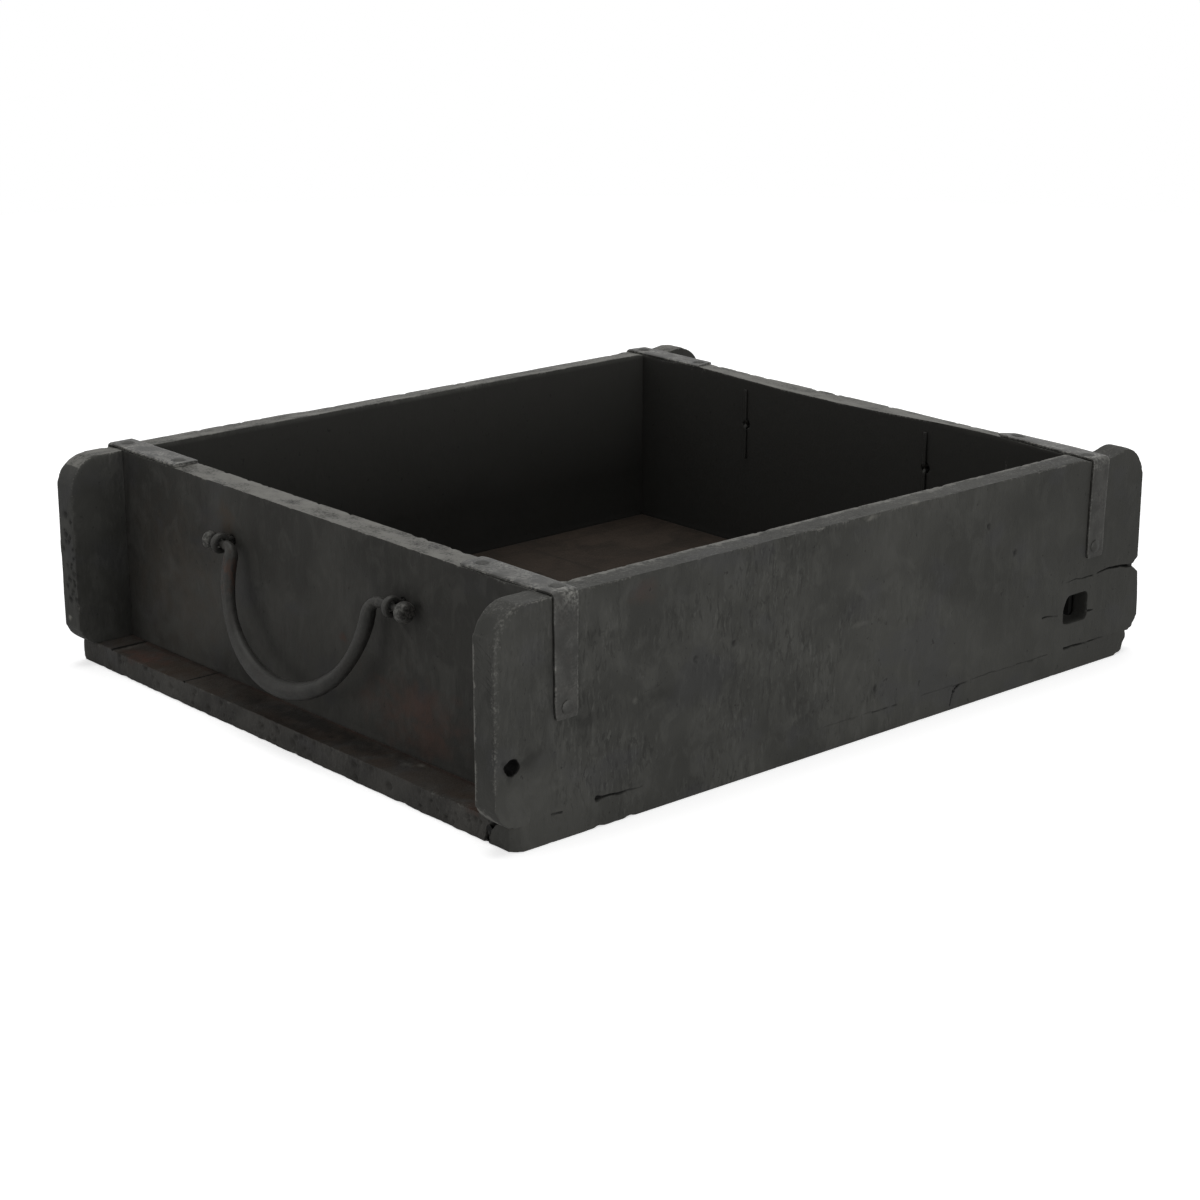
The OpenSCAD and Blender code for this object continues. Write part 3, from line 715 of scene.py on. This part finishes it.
def front_seam(p):
    """The foot of the front, where paint bridges the seam between board and strips."""
    return (np.abs(p[:, 2] - BASE_Z) < 1.6) & (p[:, 1] < FRONT_Y + 2)


def front_shape(skin):
    """The top sags at the right, the tip leans in there and the square hole is broken out to the left."""
    snap_housings(skin)
    let_down(skin)
    p = skin.co
    p[:, 0] -= 1.4 * step(p[:, 2], 18, 40) * step(p[:, 0], 150, 163)
    left, (low, high) = HOLE[0] - HOLE_HALF, HOLE[1] + np.array((-HOLE_HALF, HOLE_HALF))
    beside = step(p[:, 0], left - 9, left - 0.5) * (1 - step(p[:, 0], left + 0.8, left + 9))
    level = step(p[:, 2], low - 0.8, low + 0.6) * (1 - 0.6 * step(p[:, 2], HOLE[1], high))
    p[:, 0] -= 3.0 * beside * level * (1 - step(p[:, 2], high, high + 2))


def painted_hole_shade(skin):
    """Painted shade on the walls of the two holes."""
    p = skin.co
    deep = step(p[:, 1], FRONT_Y + 0.1, FRONT_Y + 0.5)
    peg = np.linalg.norm(p[:, [0, 2]] - PEG, axis=1) < PEG_R + 1
    square = np.abs(p[:, [0, 2]] - HOLE + (1.5, 0)).max(1) < HOLE_HALF + 2.7
    none = np.zeros(len(p))
    return none, none, deep * np.maximum(0.95 * peg, 0.3 * square)


worn_board(
    "front_side_board", BOARD_VOXEL, board_paint, FRONT_SEED, front_shape, front_seam,
    front_rims, front_cracks, front_dents, front_chips, [SPLIT_FILLER], front_marks, front_scuffs_and_highlights, painted_hole_shade,
    top_rub=0.32, rub_size=(7, 3, 3),
)


# Back side board: pits in the end grain of its left ear, and a few marks outside
def back_shape(skin):
    """Its top slopes down to the outside, most in the middle."""
    snap_housings(skin)
    let_down(skin)
    x, y, z = skin.co.T
    out = np.clip((y - BACK_IN_Y) / (BACK_Y - BACK_IN_Y), 0, 1) * (1 - step(x, RIGHT_IN_X - 6, RIGHT_IN_X))
    ear = 0.6 * step(x, RIGHT_X, RIGHT_X + 5)
    skin.co[:, 2] -= ((0.5 + 0.5 * step(x, -58, -45)) * out + ear) * step(z, TOP_Z - 6, TOP_Z)


BACK_TIP_X = box_mm("back_side_board")[0][0]


def tip_pits(count, seed):
    """Pits in the end grain of the back board's left ear, as centres and radii."""
    rng = np.random.default_rng(seed)
    y = rng.uniform(BACK_IN_Y + 1, BACK_Y - 2.5, count)
    z = rng.uniform(24, 62, count)
    return [((BACK_TIP_X, *place), r) for *place, r in zip(y, z, rng.uniform(0.9, 1.7, count))]


TIP_PITS = tip_pits(26, 20)
BACK_DENTS = [((-60, BACK_Y, 52), 14, 0.35), ((35, BACK_Y, 30), 18, 0.3), ((96, BACK_Y, 60), 10, 0.3)]
BACK_CRACKS = [
    [(-150, BACK_Y, 22), (-138, BACK_Y, 22.6), (-121, BACK_Y, 21.8)],
    [(150, BACK_Y, 60), (139, BACK_Y, 59.2), (126, BACK_Y, 59.6)],
    [(-20, BACK_Y, 9.6), (6, BACK_Y, 9.8), (31, BACK_Y, 9.5)],
]
back_cracks = [(line, (0.4, 0.2), (0.7, 0.15)) for line in BACK_CRACKS]
back_dents = [(centre, r, 0.35 * r) for centre, r in TIP_PITS] + BACK_DENTS
back_chips = nicks((-150, BACK_Y, TOP_Z), (150, BACK_Y, TOP_Z), (0, -0.5, -0.8), 24, 7)
back_chips += nicks((-150, BACK_IN_Y, TOP_Z), (150, BACK_IN_Y, TOP_Z), (0, 0.5, -0.8), 20, 8)
back_chips += nicks(
    (BACK_TIP_X, BACK_IN_Y, 16), (BACK_TIP_X, BACK_IN_Y, 72), (0.8, 0.5, 0), 14, 10, (0.8, 2), (0.2, 0.5),
)
back_marks = [("pale", (BACK_TIP_X, 129, 19.4), (1.8, 1.4, 1.4), 1.0)]
back_marks += [("dark", centre, (2, 1.5 * r, 1.5 * r), 0.6) for centre, r in TIP_PITS]
worn_board(
    "back_side_board", BOARD_VOXEL, board_paint, 2, back_shape, cracks=back_cracks,
    dents=back_dents, chips=back_chips, marks=back_marks, rub=0.5, top_rub=0.95, rub_size=(7, 3, 3),
)

# End boards: stains, rust marks and painted shade at the left, a worn top and painted shade in the corner
# behind the hole at the right
LEFT_STAINS_AND_SHADE = [
    ("red", (LEFT_X, -60, 24), (4, 36, 16), 0.6),
    ("red", (LEFT_X, -20, 43), (3, 3, 2), 0.8),
    ("red", (LEFT_X, -112, 20), (4, 8, 14), 0.5),
    ("brown", (LEFT_X, 90, 40), (4, 40, 40), 0.35),
    ("brown", (LEFT_X, 52, 70), (4, 7, 9), 0.9),
    # The broad dark mark at the back is painted shade from the back ear; the two small ones darken the wall
    # round the eye pins
    ("dark", (LEFT_X, 116, 46), (4, 36, 60), 0.25),
    ("dark", (LEFT_X, 50, 61), (4, 9, 9), 0.4),
    ("dark", (LEFT_X, -57, 61), (4, 9, 9), 0.4),
]
left_chips = nicks((LEFT_X, -120, TOP_Z), (LEFT_X, 120, TOP_Z), (0.5, 0, -0.8), 40, 11)
left_chips += nicks((LEFT_IN_X, -120, TOP_Z), (LEFT_IN_X, 120, TOP_Z), (-0.5, 0, -0.8), 24, 12)
worn_board(
    "left_end_board", BOARD_VOXEL, end_paint, 3, chips=left_chips, marks=LEFT_STAINS_AND_SHADE,
    rub=0.5, top_rub=1.0, rub_size=(4, 8, 4),
)
right_chips = nicks((RIGHT_X, -120, TOP_Z - 2), (RIGHT_X, 120, TOP_Z - 2), (-0.5, 0, -0.8), 24, 13)
right_chips += nicks((RIGHT_IN_X, -120, TOP_Z - 1), (RIGHT_IN_X, 120, TOP_Z - 1), (0.5, 0, -0.8), 10, 14)
right_chips += [((RIGHT_IN_X + 5, -78, TOP_Z), 4.5, 0.9, (0, 0, -1))]
worn_board(
    "right_end_board", BOARD_VOXEL, end_paint, 4, let_down, chips=right_chips,
    # Painted shade on the end board in the corner behind the square hole
    marks=[("dark", (RIGHT_IN_X, -HOUSED_Y, HOLE[1]), (12, 14, 30), 1.0)],
    scuffs=[([(RIGHT_IN_X, -91, 80), (RIGHT_IN_X, -91, 68)], 0.7, 0.35)],
    top_rub=1.1, rub_size=(4, 8, 4),
)

# Base: boards and strips that meet flush, with paint over their seams and painted shade in the cracks along
# them
# The seed of the front board, so that its face and those of the front strips wear alike at their seam
BASE_SEED = FRONT_SEED
CORNER_CRACK = [
    (BASE_LEFT_X + 6, FRONT_SEAM_Y - 3.6, BASE_Z), (BASE_LEFT_X, FRONT_SEAM_Y - 3.4, BASE_Z),
    (BASE_LEFT_X, FRONT_SEAM_Y + 0.4, 4.6), (BASE_LEFT_X, FRONT_SEAM_Y + 1.6, 0),
]
base_chips = nicks(
    (BASE_LEFT_X, -130, 0), (BASE_LEFT_X, 130, 0), (0.6, 0, 0.7), 30, 15, (1, 3.5), (0.06, 0.25),
)
base_chips += nicks(
    (BASE_LEFT_X, -130, BASE_Z), (BASE_LEFT_X, 130, BASE_Z), (0.6, 0, -0.7), 30, 16, (1, 3.5),
)
base_chips += nicks((BASE_RIGHT_X, -110, 0), (BASE_RIGHT_X, 130, 0), (-0.6, 0, 0.7), 18, 17, (1, 3))
base_chips += nicks((-155, FRONT_Y, 0), (145, FRONT_Y, 0), (0, 0.6, 0.7), 14, 18, (0.8, 2), (0.03, 0.12))
base_chips += [
    ((BASE_RIGHT_X, FRONT_Y, 0), 6.5, 2.0, (-0.7, 0.2, 0.7)),
    ((-121, FRONT_Y, 0), 3.0, 0.6, (0, 0.5, 0.8)),
    ((-107, FRONT_Y, 0), 2.6, 0.5, (0, 0.5, 0.8)),
]
BUTT_CRACK = on_front([(58.4, 8.9), (55.6, 7.6), (54, 5.6), (53.2, 1.5)])
ledge_seams = [
    ([(BASE_LEFT_X, y, BASE_Z), (BASE_LEFT_X + 16, y, BASE_Z)], (0.6, 0.5), (0.7, 0.5))
    for y in (NARROW_SEAM_Y, BACK_SEAM_Y)
]
ledge_marks_and_shadow = [
    ("pale", (-147, -63, BASE_Z), (2.5, 3.5, 2), 0.25),
    ("pale", (-144.5, -68, BASE_Z), (1.5, 2, 2), 0.35),
    ("pale", (-150, BACK_SEAM_Y - 2, BASE_Z), (9, 1.6, 2), 0.2),
    ("red", (-151, 96, BASE_Z), (9, 14, 3), 0.9),
    ("red", (-150, -111, BASE_Z), (9, 9, 3), 0.8),
    # Painted shadow of the left bail on the ledge
    ("dark", (-147, -10, BASE_Z), (9, 60, 3), 0.75),
]


def end_pits(count, seed):
    """Pits in the end grain at the left end of the base."""
    rng = np.random.default_rng(seed)
    places = zip(rng.uniform(-125, 125, count), rng.uniform(1, BASE_Z - 1, count))
    return [((BASE_LEFT_X, y, z), rng.uniform(0.9, 2.2), rng.uniform(0.3, 0.9)) for y, z in places]


base_dents = [((BASE_LEFT_X, -66, 4), 2.5, 1.2), ((BASE_LEFT_X, -46, 6), 2.2, 1.0)] + end_pits(60, 19)


def close_seams(skin):
    """Each base piece reaches to the middle of its seams, with crisp arrises there."""
    for y in (FRONT_SEAM_Y, NARROW_SEAM_Y, BACK_SEAM_Y):
        skin.snap(1, y, 0.9)
    skin.snap(0, STRIP_JOINT_X, 0.9)


def base_seam(p):
    """Beside the seams of the base, where the boards meet flush."""
    seams = np.abs(p[:, 1, None] - [FRONT_SEAM_Y, NARROW_SEAM_Y, BACK_SEAM_Y]).min(1)
    return front_seam(p) | (seams < 0.8) | (np.abs(p[:, 0] - STRIP_JOINT_X) < 0.8)


def base_tint(skin):
    """Bare brown wood on the top of the base, darker and redder along the foot of the left end board, and
    painted shade on the faces of the front seam.
    """
    up = np.clip(skin.no[:, 2], 0, 1) * (np.abs(skin.co[:, 2] - BASE_Z) < 2)
    foot = up * np.clip(1 - np.abs(skin.co[:, 0] - LEFT_X + 0.6) / 1.6, 0, 1)
    brown = up * (0.8 + 0.4 * fractal(skin.co, 26, 33, 2))
    # Painted shade on the faces of the front seam, where the boards part
    seam = (np.abs(skin.co[:, 1] - FRONT_SEAM_Y) < 1.2) & (np.abs(skin.no[:, 1]) > 0.6)
    return brown, 0.6 * foot, np.maximum(0.9 * seam, foot * (0.5 + 0.4 * fractal(skin.co, 6, 34, 2)))


def rough_ends(skin):
    """Sawn and battered end grain on the ends of the base, and a ledge where the narrow board lies lower."""
    close_seams(skin)
    p = skin.co
    end = np.clip((np.abs(p[:, 0]) - BASE_RIGHT_X + 1.2) / 1.2, 0, 1)
    depth = 0.35 * (1 + fractal(p, np.array((5, 4, 2.5)), 35, 3) / 1.75)
    p[:, 0] -= np.sign(p[:, 0]) * end * depth
    narrow = (p[:, 1] > NARROW_SEAM_Y + 0.4) & (p[:, 1] < BACK_SEAM_Y - 0.4) & (p[:, 0] < LEFT_X)
    p[:, 2] -= 0.45 * narrow * step(p[:, 2], BASE_Z - 1.5, BASE_Z)


BASE_PIECES = {
    "wide_base_board": base_paint, "narrow_base_board": base_paint, "back_base_strip": base_paint,
    "long_front_strip": board_paint, "short_front_strip": board_paint,
}
corner_crack = (CORNER_CRACK, (1.0, 1.0), (1.5, 2.0))
for name, paint in BASE_PIECES.items():
    if "front" in name:
        cracks = seam_cracks + [(BUTT_CRACK, (0.5, 0.35), (1.0, 0.6)), corner_crack]
    else:
        cracks = [corner_crack] + ledge_seams
    worn_board(
        name, BASE_VOXEL, paint, BASE_SEED, rough_ends, base_seam,
        cracks=cracks, dents=base_dents, chips=base_chips, marks=ledge_marks_and_shadow, tint=base_tint,
    )


# Straps: rows of points along a strip, each row once round it
STRAP_ROWS = {"arm": 36, "bend": 7, "drop": 34}
STRAP_ACROSS = 13


def strap_sag(corners, along, across):
    """How far a strap lies below its place; corners are inner end, outer end, inner bend and outer bend."""
    end = corners[0] + (corners[1] - corners[0]) * across
    bend = corners[2] + (corners[3] - corners[2]) * across
    return end + (bend - end) * along


def closed_tube(name, co, rows):
    """A mesh from rows of points in millimetres that each go once round a bar, with both ends closed."""
    m = len(co) // rows
    faces = [
        (k * m + i, k * m + (i + 1) % m, (k + 1) * m + (i + 1) % m, (k + 1) * m + i)
        for k in range(rows - 1) for i in range(m)
    ]
    faces += [tuple(range(m))[::-1], tuple(range((rows - 1) * m, rows * m))]
    mesh = bpy.data.meshes.new(name)
    mesh.from_pydata((co * MM).tolist(), [], faces)
    bm = bmesh.new()
    bm.from_mesh(mesh)
    bmesh.ops.recalc_face_normals(bm, faces=bm.faces)
    bm.to_mesh(mesh)
    bm.free()
    return mesh


def strap(node, corners, shift_x, lift, bend_width, foot_width, end_cut, seed):
    """An iron strip with a bend: its top arm lies on the end board and its drop on the side board.

    corners are its sags, shift_x and lift move its foot, bend_width and foot_width are its widths there, and
    end_cut is how much shorter its outer edge is.
    """
    low, high = box_mm(node)
    side = 1 if high[1] > 0 else -1
    out_y, in_y = (high[1], low[1]) if side > 0 else (low[1], high[1])
    thick = high[2] - TOP_Z
    bend_r = thick + 0.4
    arm = abs(out_y - in_y) - thick / 2 - bend_r
    arc = bend_r * math.pi / 2
    drop = high[2] - thick / 2 - bend_r - low[2] - lift
    s = np.concatenate([
        np.linspace(0, arm, STRAP_ROWS["arm"]),
        arm + arc * np.linspace(0, 1, STRAP_ROWS["bend"])[1:],
        arm + arc + np.linspace(0, drop, STRAP_ROWS["drop"])[1:],
    ])[:, None]
    u = np.concatenate([np.linspace(-1, 1, STRAP_ACROSS), np.linspace(1, -1, STRAP_ACROSS)])[None]
    at_edge = np.abs(u) > 0.99
    h = np.repeat((thick / 2, -thick / 2), STRAP_ACROSS)[None] * np.where(at_edge, 0.55, 1)
    angle = np.clip((s - arm) / bend_r, 0, math.pi / 2)
    foot = np.clip((s - arm - arc) / drop, 0, 1)
    along, across = np.clip(s / arm, 0, 1), (u + 1) / 2
    full = high[0] - low[0]
    width = full + (bend_width - full) * step(along, 0.6, 1.0) + (foot_width - bend_width) * foot
    k = np.arange(len(s))[:, None]
    width = width - np.maximum(0, 1 - np.minimum(k, k[::-1]) / 1.5)
    here = np.stack(np.broadcast_arrays(u * 6, s, h * 3), -1).reshape(-1, 3)
    shape = (len(s), u.shape[1])
    h = h + 0.05 * noise(here / 9, seed + 1).reshape(shape) - 0.05
    ripple = 0.1 * noise(here / 7, seed).reshape(shape) * np.abs(u) ** 8
    x = u * (width / 2 - 0.12 * at_edge) + ripple
    x = x + (low[0] + high[0]) / 2 + shift_x * step(s, arm * 0.5, arm + arc + drop * 0.8)
    run = np.minimum(s, arm) + end_cut * across * (1 - along)
    y = in_y + side * (run + (bend_r + h) * np.sin(angle))
    z = high[2] - thick / 2 - bend_r + (bend_r + h) * np.cos(angle) - drop * foot
    z = z - strap_sag(corners, along, across) * (1 - foot)
    co = np.stack(np.broadcast_arrays(x, y, z), -1).reshape(-1, 3)
    obj = new_object(node + "_forged", closed_tube(node + "_forged", co, len(s)))
    skin = Skin(obj.data)
    edge = np.broadcast_to(at_edge, shape).ravel()
    # Edges and bend are rubbed; the whole top arm is made lighter with the same colour as a painted sheen
    bend_wear_and_top_sheen = np.broadcast_to(np.exp(-((s - arm - arc / 2) / 4) ** 2) + 0.9 * (angle == 0), shape).ravel()
    wear = np.where(edge, 0.8, 0.14) + 0.7 * bend_wear_and_top_sheen
    skin.keep("wear", wear * (0.55 + 0.8 * fractal(skin.co, 4, seed + 3, 2)))
    skin.keep("brown", np.zeros(len(wear)))
    skin.keep("inside", np.zeros(len(wear)))
    finish_piece(obj, node, "box", strap_iron)


FRONT_RIGHT_SAG = (0.0, 1.8, 1.5, 1.8)
BACK_RIGHT_SAG = (0.8, 1.2, 0.8, 1.2)
strap("front_left_strap", (0, 0, 0, 0), 0.2, 0.0, 10.4, 9.8, 0.0, 101)
strap("front_right_strap", FRONT_RIGHT_SAG, -1.9, 2.2, 9.8, 9.4, 0.0, 102)
strap("back_left_strap", (0, 0, 0, 0), 0.3, 0.5, 11.0, 10.4, 0.0, 103)
strap("back_right_strap", BACK_RIGHT_SAG, 0.4, 1.0, 11.0, 10.2, 3.0, 104)


def small_piece(node, body, voxel, material, rounds, hammer, seed, shape=None, rust=None):
    """A small iron piece: its solid with softened edges and hammered faces."""
    obj = even_mesh(node + "_forged", node, voxel)
    skin = Skin(obj.data)
    if shape:
        shape(skin)
    skin.relax(np.ones(len(skin.co)), rounds)
    skin.sink(hammer * (1 + fractal(skin.co, 4.5, seed, 2) / 1.5))
    skin.keep("wear", skin.worn / 0.2 * (0.6 + 0.6 * fractal(skin.co, 4, seed + 5, 2)))
    skin.keep("brown", rust(skin.co) if rust else np.zeros(len(skin.co)))
    skin.keep("inside", inside_box(skin.co))
    skin.save()
    finish_piece(obj, node, body, material)


def seat_nails(skin):
    """The nails follow their straps where these lie lower or to one side."""
    p = skin.co
    x, y, z = p.T.copy()
    right, front, top = x > 0, y < 0, z > 60
    along = np.clip((np.abs(y) - STRAP_IN_Y) / (BACK_Y - STRAP_IN_Y), 0, 1)
    across = np.clip((x - RIGHT_IN_X) / (RIGHT_X - RIGHT_IN_X), 0, 1)
    front_sag = strap_sag(FRONT_RIGHT_SAG, along, across)
    sag = np.where(front, front_sag, strap_sag(BACK_RIGHT_SAG, along, across))
    at_bend = top & (np.abs(y) > 110)
    p[:, 2] -= sag * (right & top)
    p[:, 2] += np.where(right, 1.0, -1.7) * (front & ~top)
    p[:, 0] += np.where(right, -2.6, 0.3) * (front & ~top) + np.where(right, -2.0, 1.6) * (front & at_bend)


# The left bail: the outer sides of its front and back arms and the inner ends of its front and back knobs
ARM_FRONT_Y, ARM_BACK_Y = -48.5, 43.5
KNOB_FRONT_Y, KNOB_BACK_Y = -57.5, 50.6


def swell(skin):
    """Fuller arms and knobs on a bail; the right one is taken as the left one turned round."""
    side = np.sign(skin.co[:, 0].mean())
    turn = np.array((-side, -side, 1))
    y, z = (skin.co * turn)[:, 1:].T
    past_arm = np.maximum(ARM_FRONT_Y - y, y - ARM_BACK_Y)
    arms = 0.75 * step(z, 36, 56) * (1 - step(past_arm, 0, 4))
    front_knob = 0.8 * step(-y, -KNOB_FRONT_Y, 1.5 - KNOB_FRONT_Y)
    knobs = front_knob + 0.45 * step(y, KNOB_BACK_Y, KNOB_BACK_Y + 1.4)
    skin.co += skin.no * (arms + knobs)[:, None]
    moved = step(-y, -KNOB_FRONT_Y - 0.5, 2 - KNOB_FRONT_Y)
    skin.co += np.array((0, -1.3, -0.4)) * turn * moved[:, None]
    # The knobs are made lighter, partly as wear and partly as a painted highlight
    skin.worn += 0.35 * step(knobs, 0, 0.4)


def fuller_eye(skin):
    """A fuller ring on an eye pin, which keeps its hole, and legs that are beaten flat on the wood."""
    p = skin.co
    out = step(np.abs(p[:, 0]), RIGHT_X + 0.2, RIGHT_X + 1.5)
    middle = (p[:, 1].min() + p[:, 1].max()) / 2
    p[:, 1] += 0.45 * (p[:, 1] - middle) * out
    from_pivot = p[:, [0, 2]] - (np.sign(p[0, 0]) * PIVOT_X, PIVOT_Z)
    far = np.linalg.norm(from_pivot, axis=1)
    p[:, [0, 2]] += from_pivot * (0.5 * step(far, 2.3, 3.2) * out / np.maximum(far, 1))[:, None]
    p[:, 0] += 0.5 * np.sign(p[:, 0]) * np.maximum(0, RIGHT_IN_X - np.abs(p[:, 0]))


def left_rust(co):
    """Rust at the top of the left bail's back arm."""
    return 0.9 * np.clip(1.3 - np.linalg.norm((co - (-149, 41, 53)) / (6, 6, 9), axis=1), 0, 1)


small_piece(
    "left_bail", "left_handle", BAIL_VOXEL, handle_iron, 3, 0.06, 50, swell, left_rust,
)
small_piece("right_bail", "right_handle", BAIL_VOXEL, handle_iron, 3, 0.06, 51, swell)
for i, side in enumerate(("left", "right")):
    for place in ("front", "back"):
        small_piece(
            f"{side}_{place}_eye_pin", "box", PIN_VOXEL, pin_iron, 2, 0.03, 60 + i,
            fuller_eye,
        )
small_piece("strap_nails", "box", NAIL_VOXEL, strap_iron, 4, 0.06, 80, seat_nails)
small_piece("base_nails", "box", NAIL_VOXEL, strap_iron, 2, 0.05, 81)


def stage_material(name, colour, glow):
    """A matt floor that keeps shadows; for the camera it glows a little, up to plain white."""
    material = bpy.data.materials.new(name)
    material.use_nodes = True
    tree = material.node_tree
    tree.nodes.remove(tree.nodes["Principled BSDF"])
    matt = tree.nodes.new("ShaderNodeBsdfDiffuse")
    matt.inputs["Color"].default_value = (*colour, 1)
    light = tree.nodes.new("ShaderNodeEmission")
    light.inputs["Strength"].default_value = glow
    path = tree.nodes.new("ShaderNodeLightPath")
    switch = tree.nodes.new("ShaderNodeMixShader")
    both = tree.nodes.new("ShaderNodeAddShader")
    tree.links.new(matt.outputs[0], both.inputs[0])
    tree.links.new(light.outputs[0], both.inputs[1])
    tree.links.new(path.outputs["Is Camera Ray"], switch.inputs[0])
    tree.links.new(matt.outputs[0], switch.inputs[1])
    tree.links.new(both.outputs[0], switch.inputs[2])
    tree.links.new(switch.outputs[0], tree.nodes["Material Output"].inputs["Surface"])
    return material


def add_floor(radius):
    """A round floor, a hair below the box; past its rim the camera sees the white surround."""
    mesh = bpy.data.meshes.new("floor")
    bm = bmesh.new()
    bmesh.ops.create_circle(bm, cap_ends=True, segments=96, radius=radius)
    bm.to_mesh(mesh)
    bm.free()
    mesh.materials.append(stage_material("floor_white", FLOOR_WHITE, FLOOR_GLOW))
    floor = new_object("floor", mesh)
    floor.location.z = -FLOOR_DROP


def add_world(level):
    """A plain white surround that the camera and reflections see at full strength."""
    world = bpy.data.worlds.new("studio")
    world.use_nodes = True
    tree = world.node_tree
    sky = tree.nodes["Background"]
    sky.inputs["Color"].default_value = (1, 1, 1, 1)
    path = tree.nodes.new("ShaderNodeLightPath")
    seen = path.outputs["Is Camera Ray"]
    for name in ("Is Glossy Ray", "Is Transmission Ray"):
        most = tree.nodes.new("ShaderNodeMath")
        most.operation = "MAXIMUM"
        tree.links.new(seen, most.inputs[0])
        tree.links.new(path.outputs[name], most.inputs[1])
        seen = most.outputs[0]
    strength = tree.nodes.new("ShaderNodeMapRange")
    strength.inputs["To Min"].default_value = level
    tree.links.new(seen, strength.inputs["Value"])
    tree.links.new(strength.outputs["Result"], sky.inputs["Strength"])
    bpy.context.scene.world = world


def add_lamp(name, place, power, width, height):
    """A soft lamp that faces the ground under the middle of the box."""
    lamp = bpy.data.lights.new(name, "AREA")
    lamp.shape = "RECTANGLE"
    lamp.energy = power
    lamp.size = width
    lamp.size_y = height
    obj = new_object(name, lamp)
    obj.location = place
    obj.rotation_euler = (-Vector(place)).to_track_quat("-Z", "Y").to_euler()


def add_camera():
    """The photograph's camera."""
    data = bpy.data.cameras.new("camera")
    data.sensor_width = 36
    data.angle = 2 * math.atan(HALF_FRAME_PX / FOCAL_PX)
    camera = new_object("camera", data)
    away = Vector((
        math.sin(AZIMUTH) * math.cos(ELEVATION),
        -math.cos(AZIMUTH) * math.cos(ELEVATION),
        math.sin(ELEVATION),
    ))
    camera.location = LOOK_AT + away * DISTANCE
    camera.rotation_euler = (-away).to_track_quat("-Z", "Y").to_euler()
    bpy.context.scene.camera = camera


add_floor(FLOOR_RADIUS)
add_world(SURROUND_LIGHT)
for lamp_name, lamp_values in LAMPS.items():
    add_lamp(lamp_name, *lamp_values)
add_camera()
bpy.context.scene.view_settings.view_transform = "Standard"
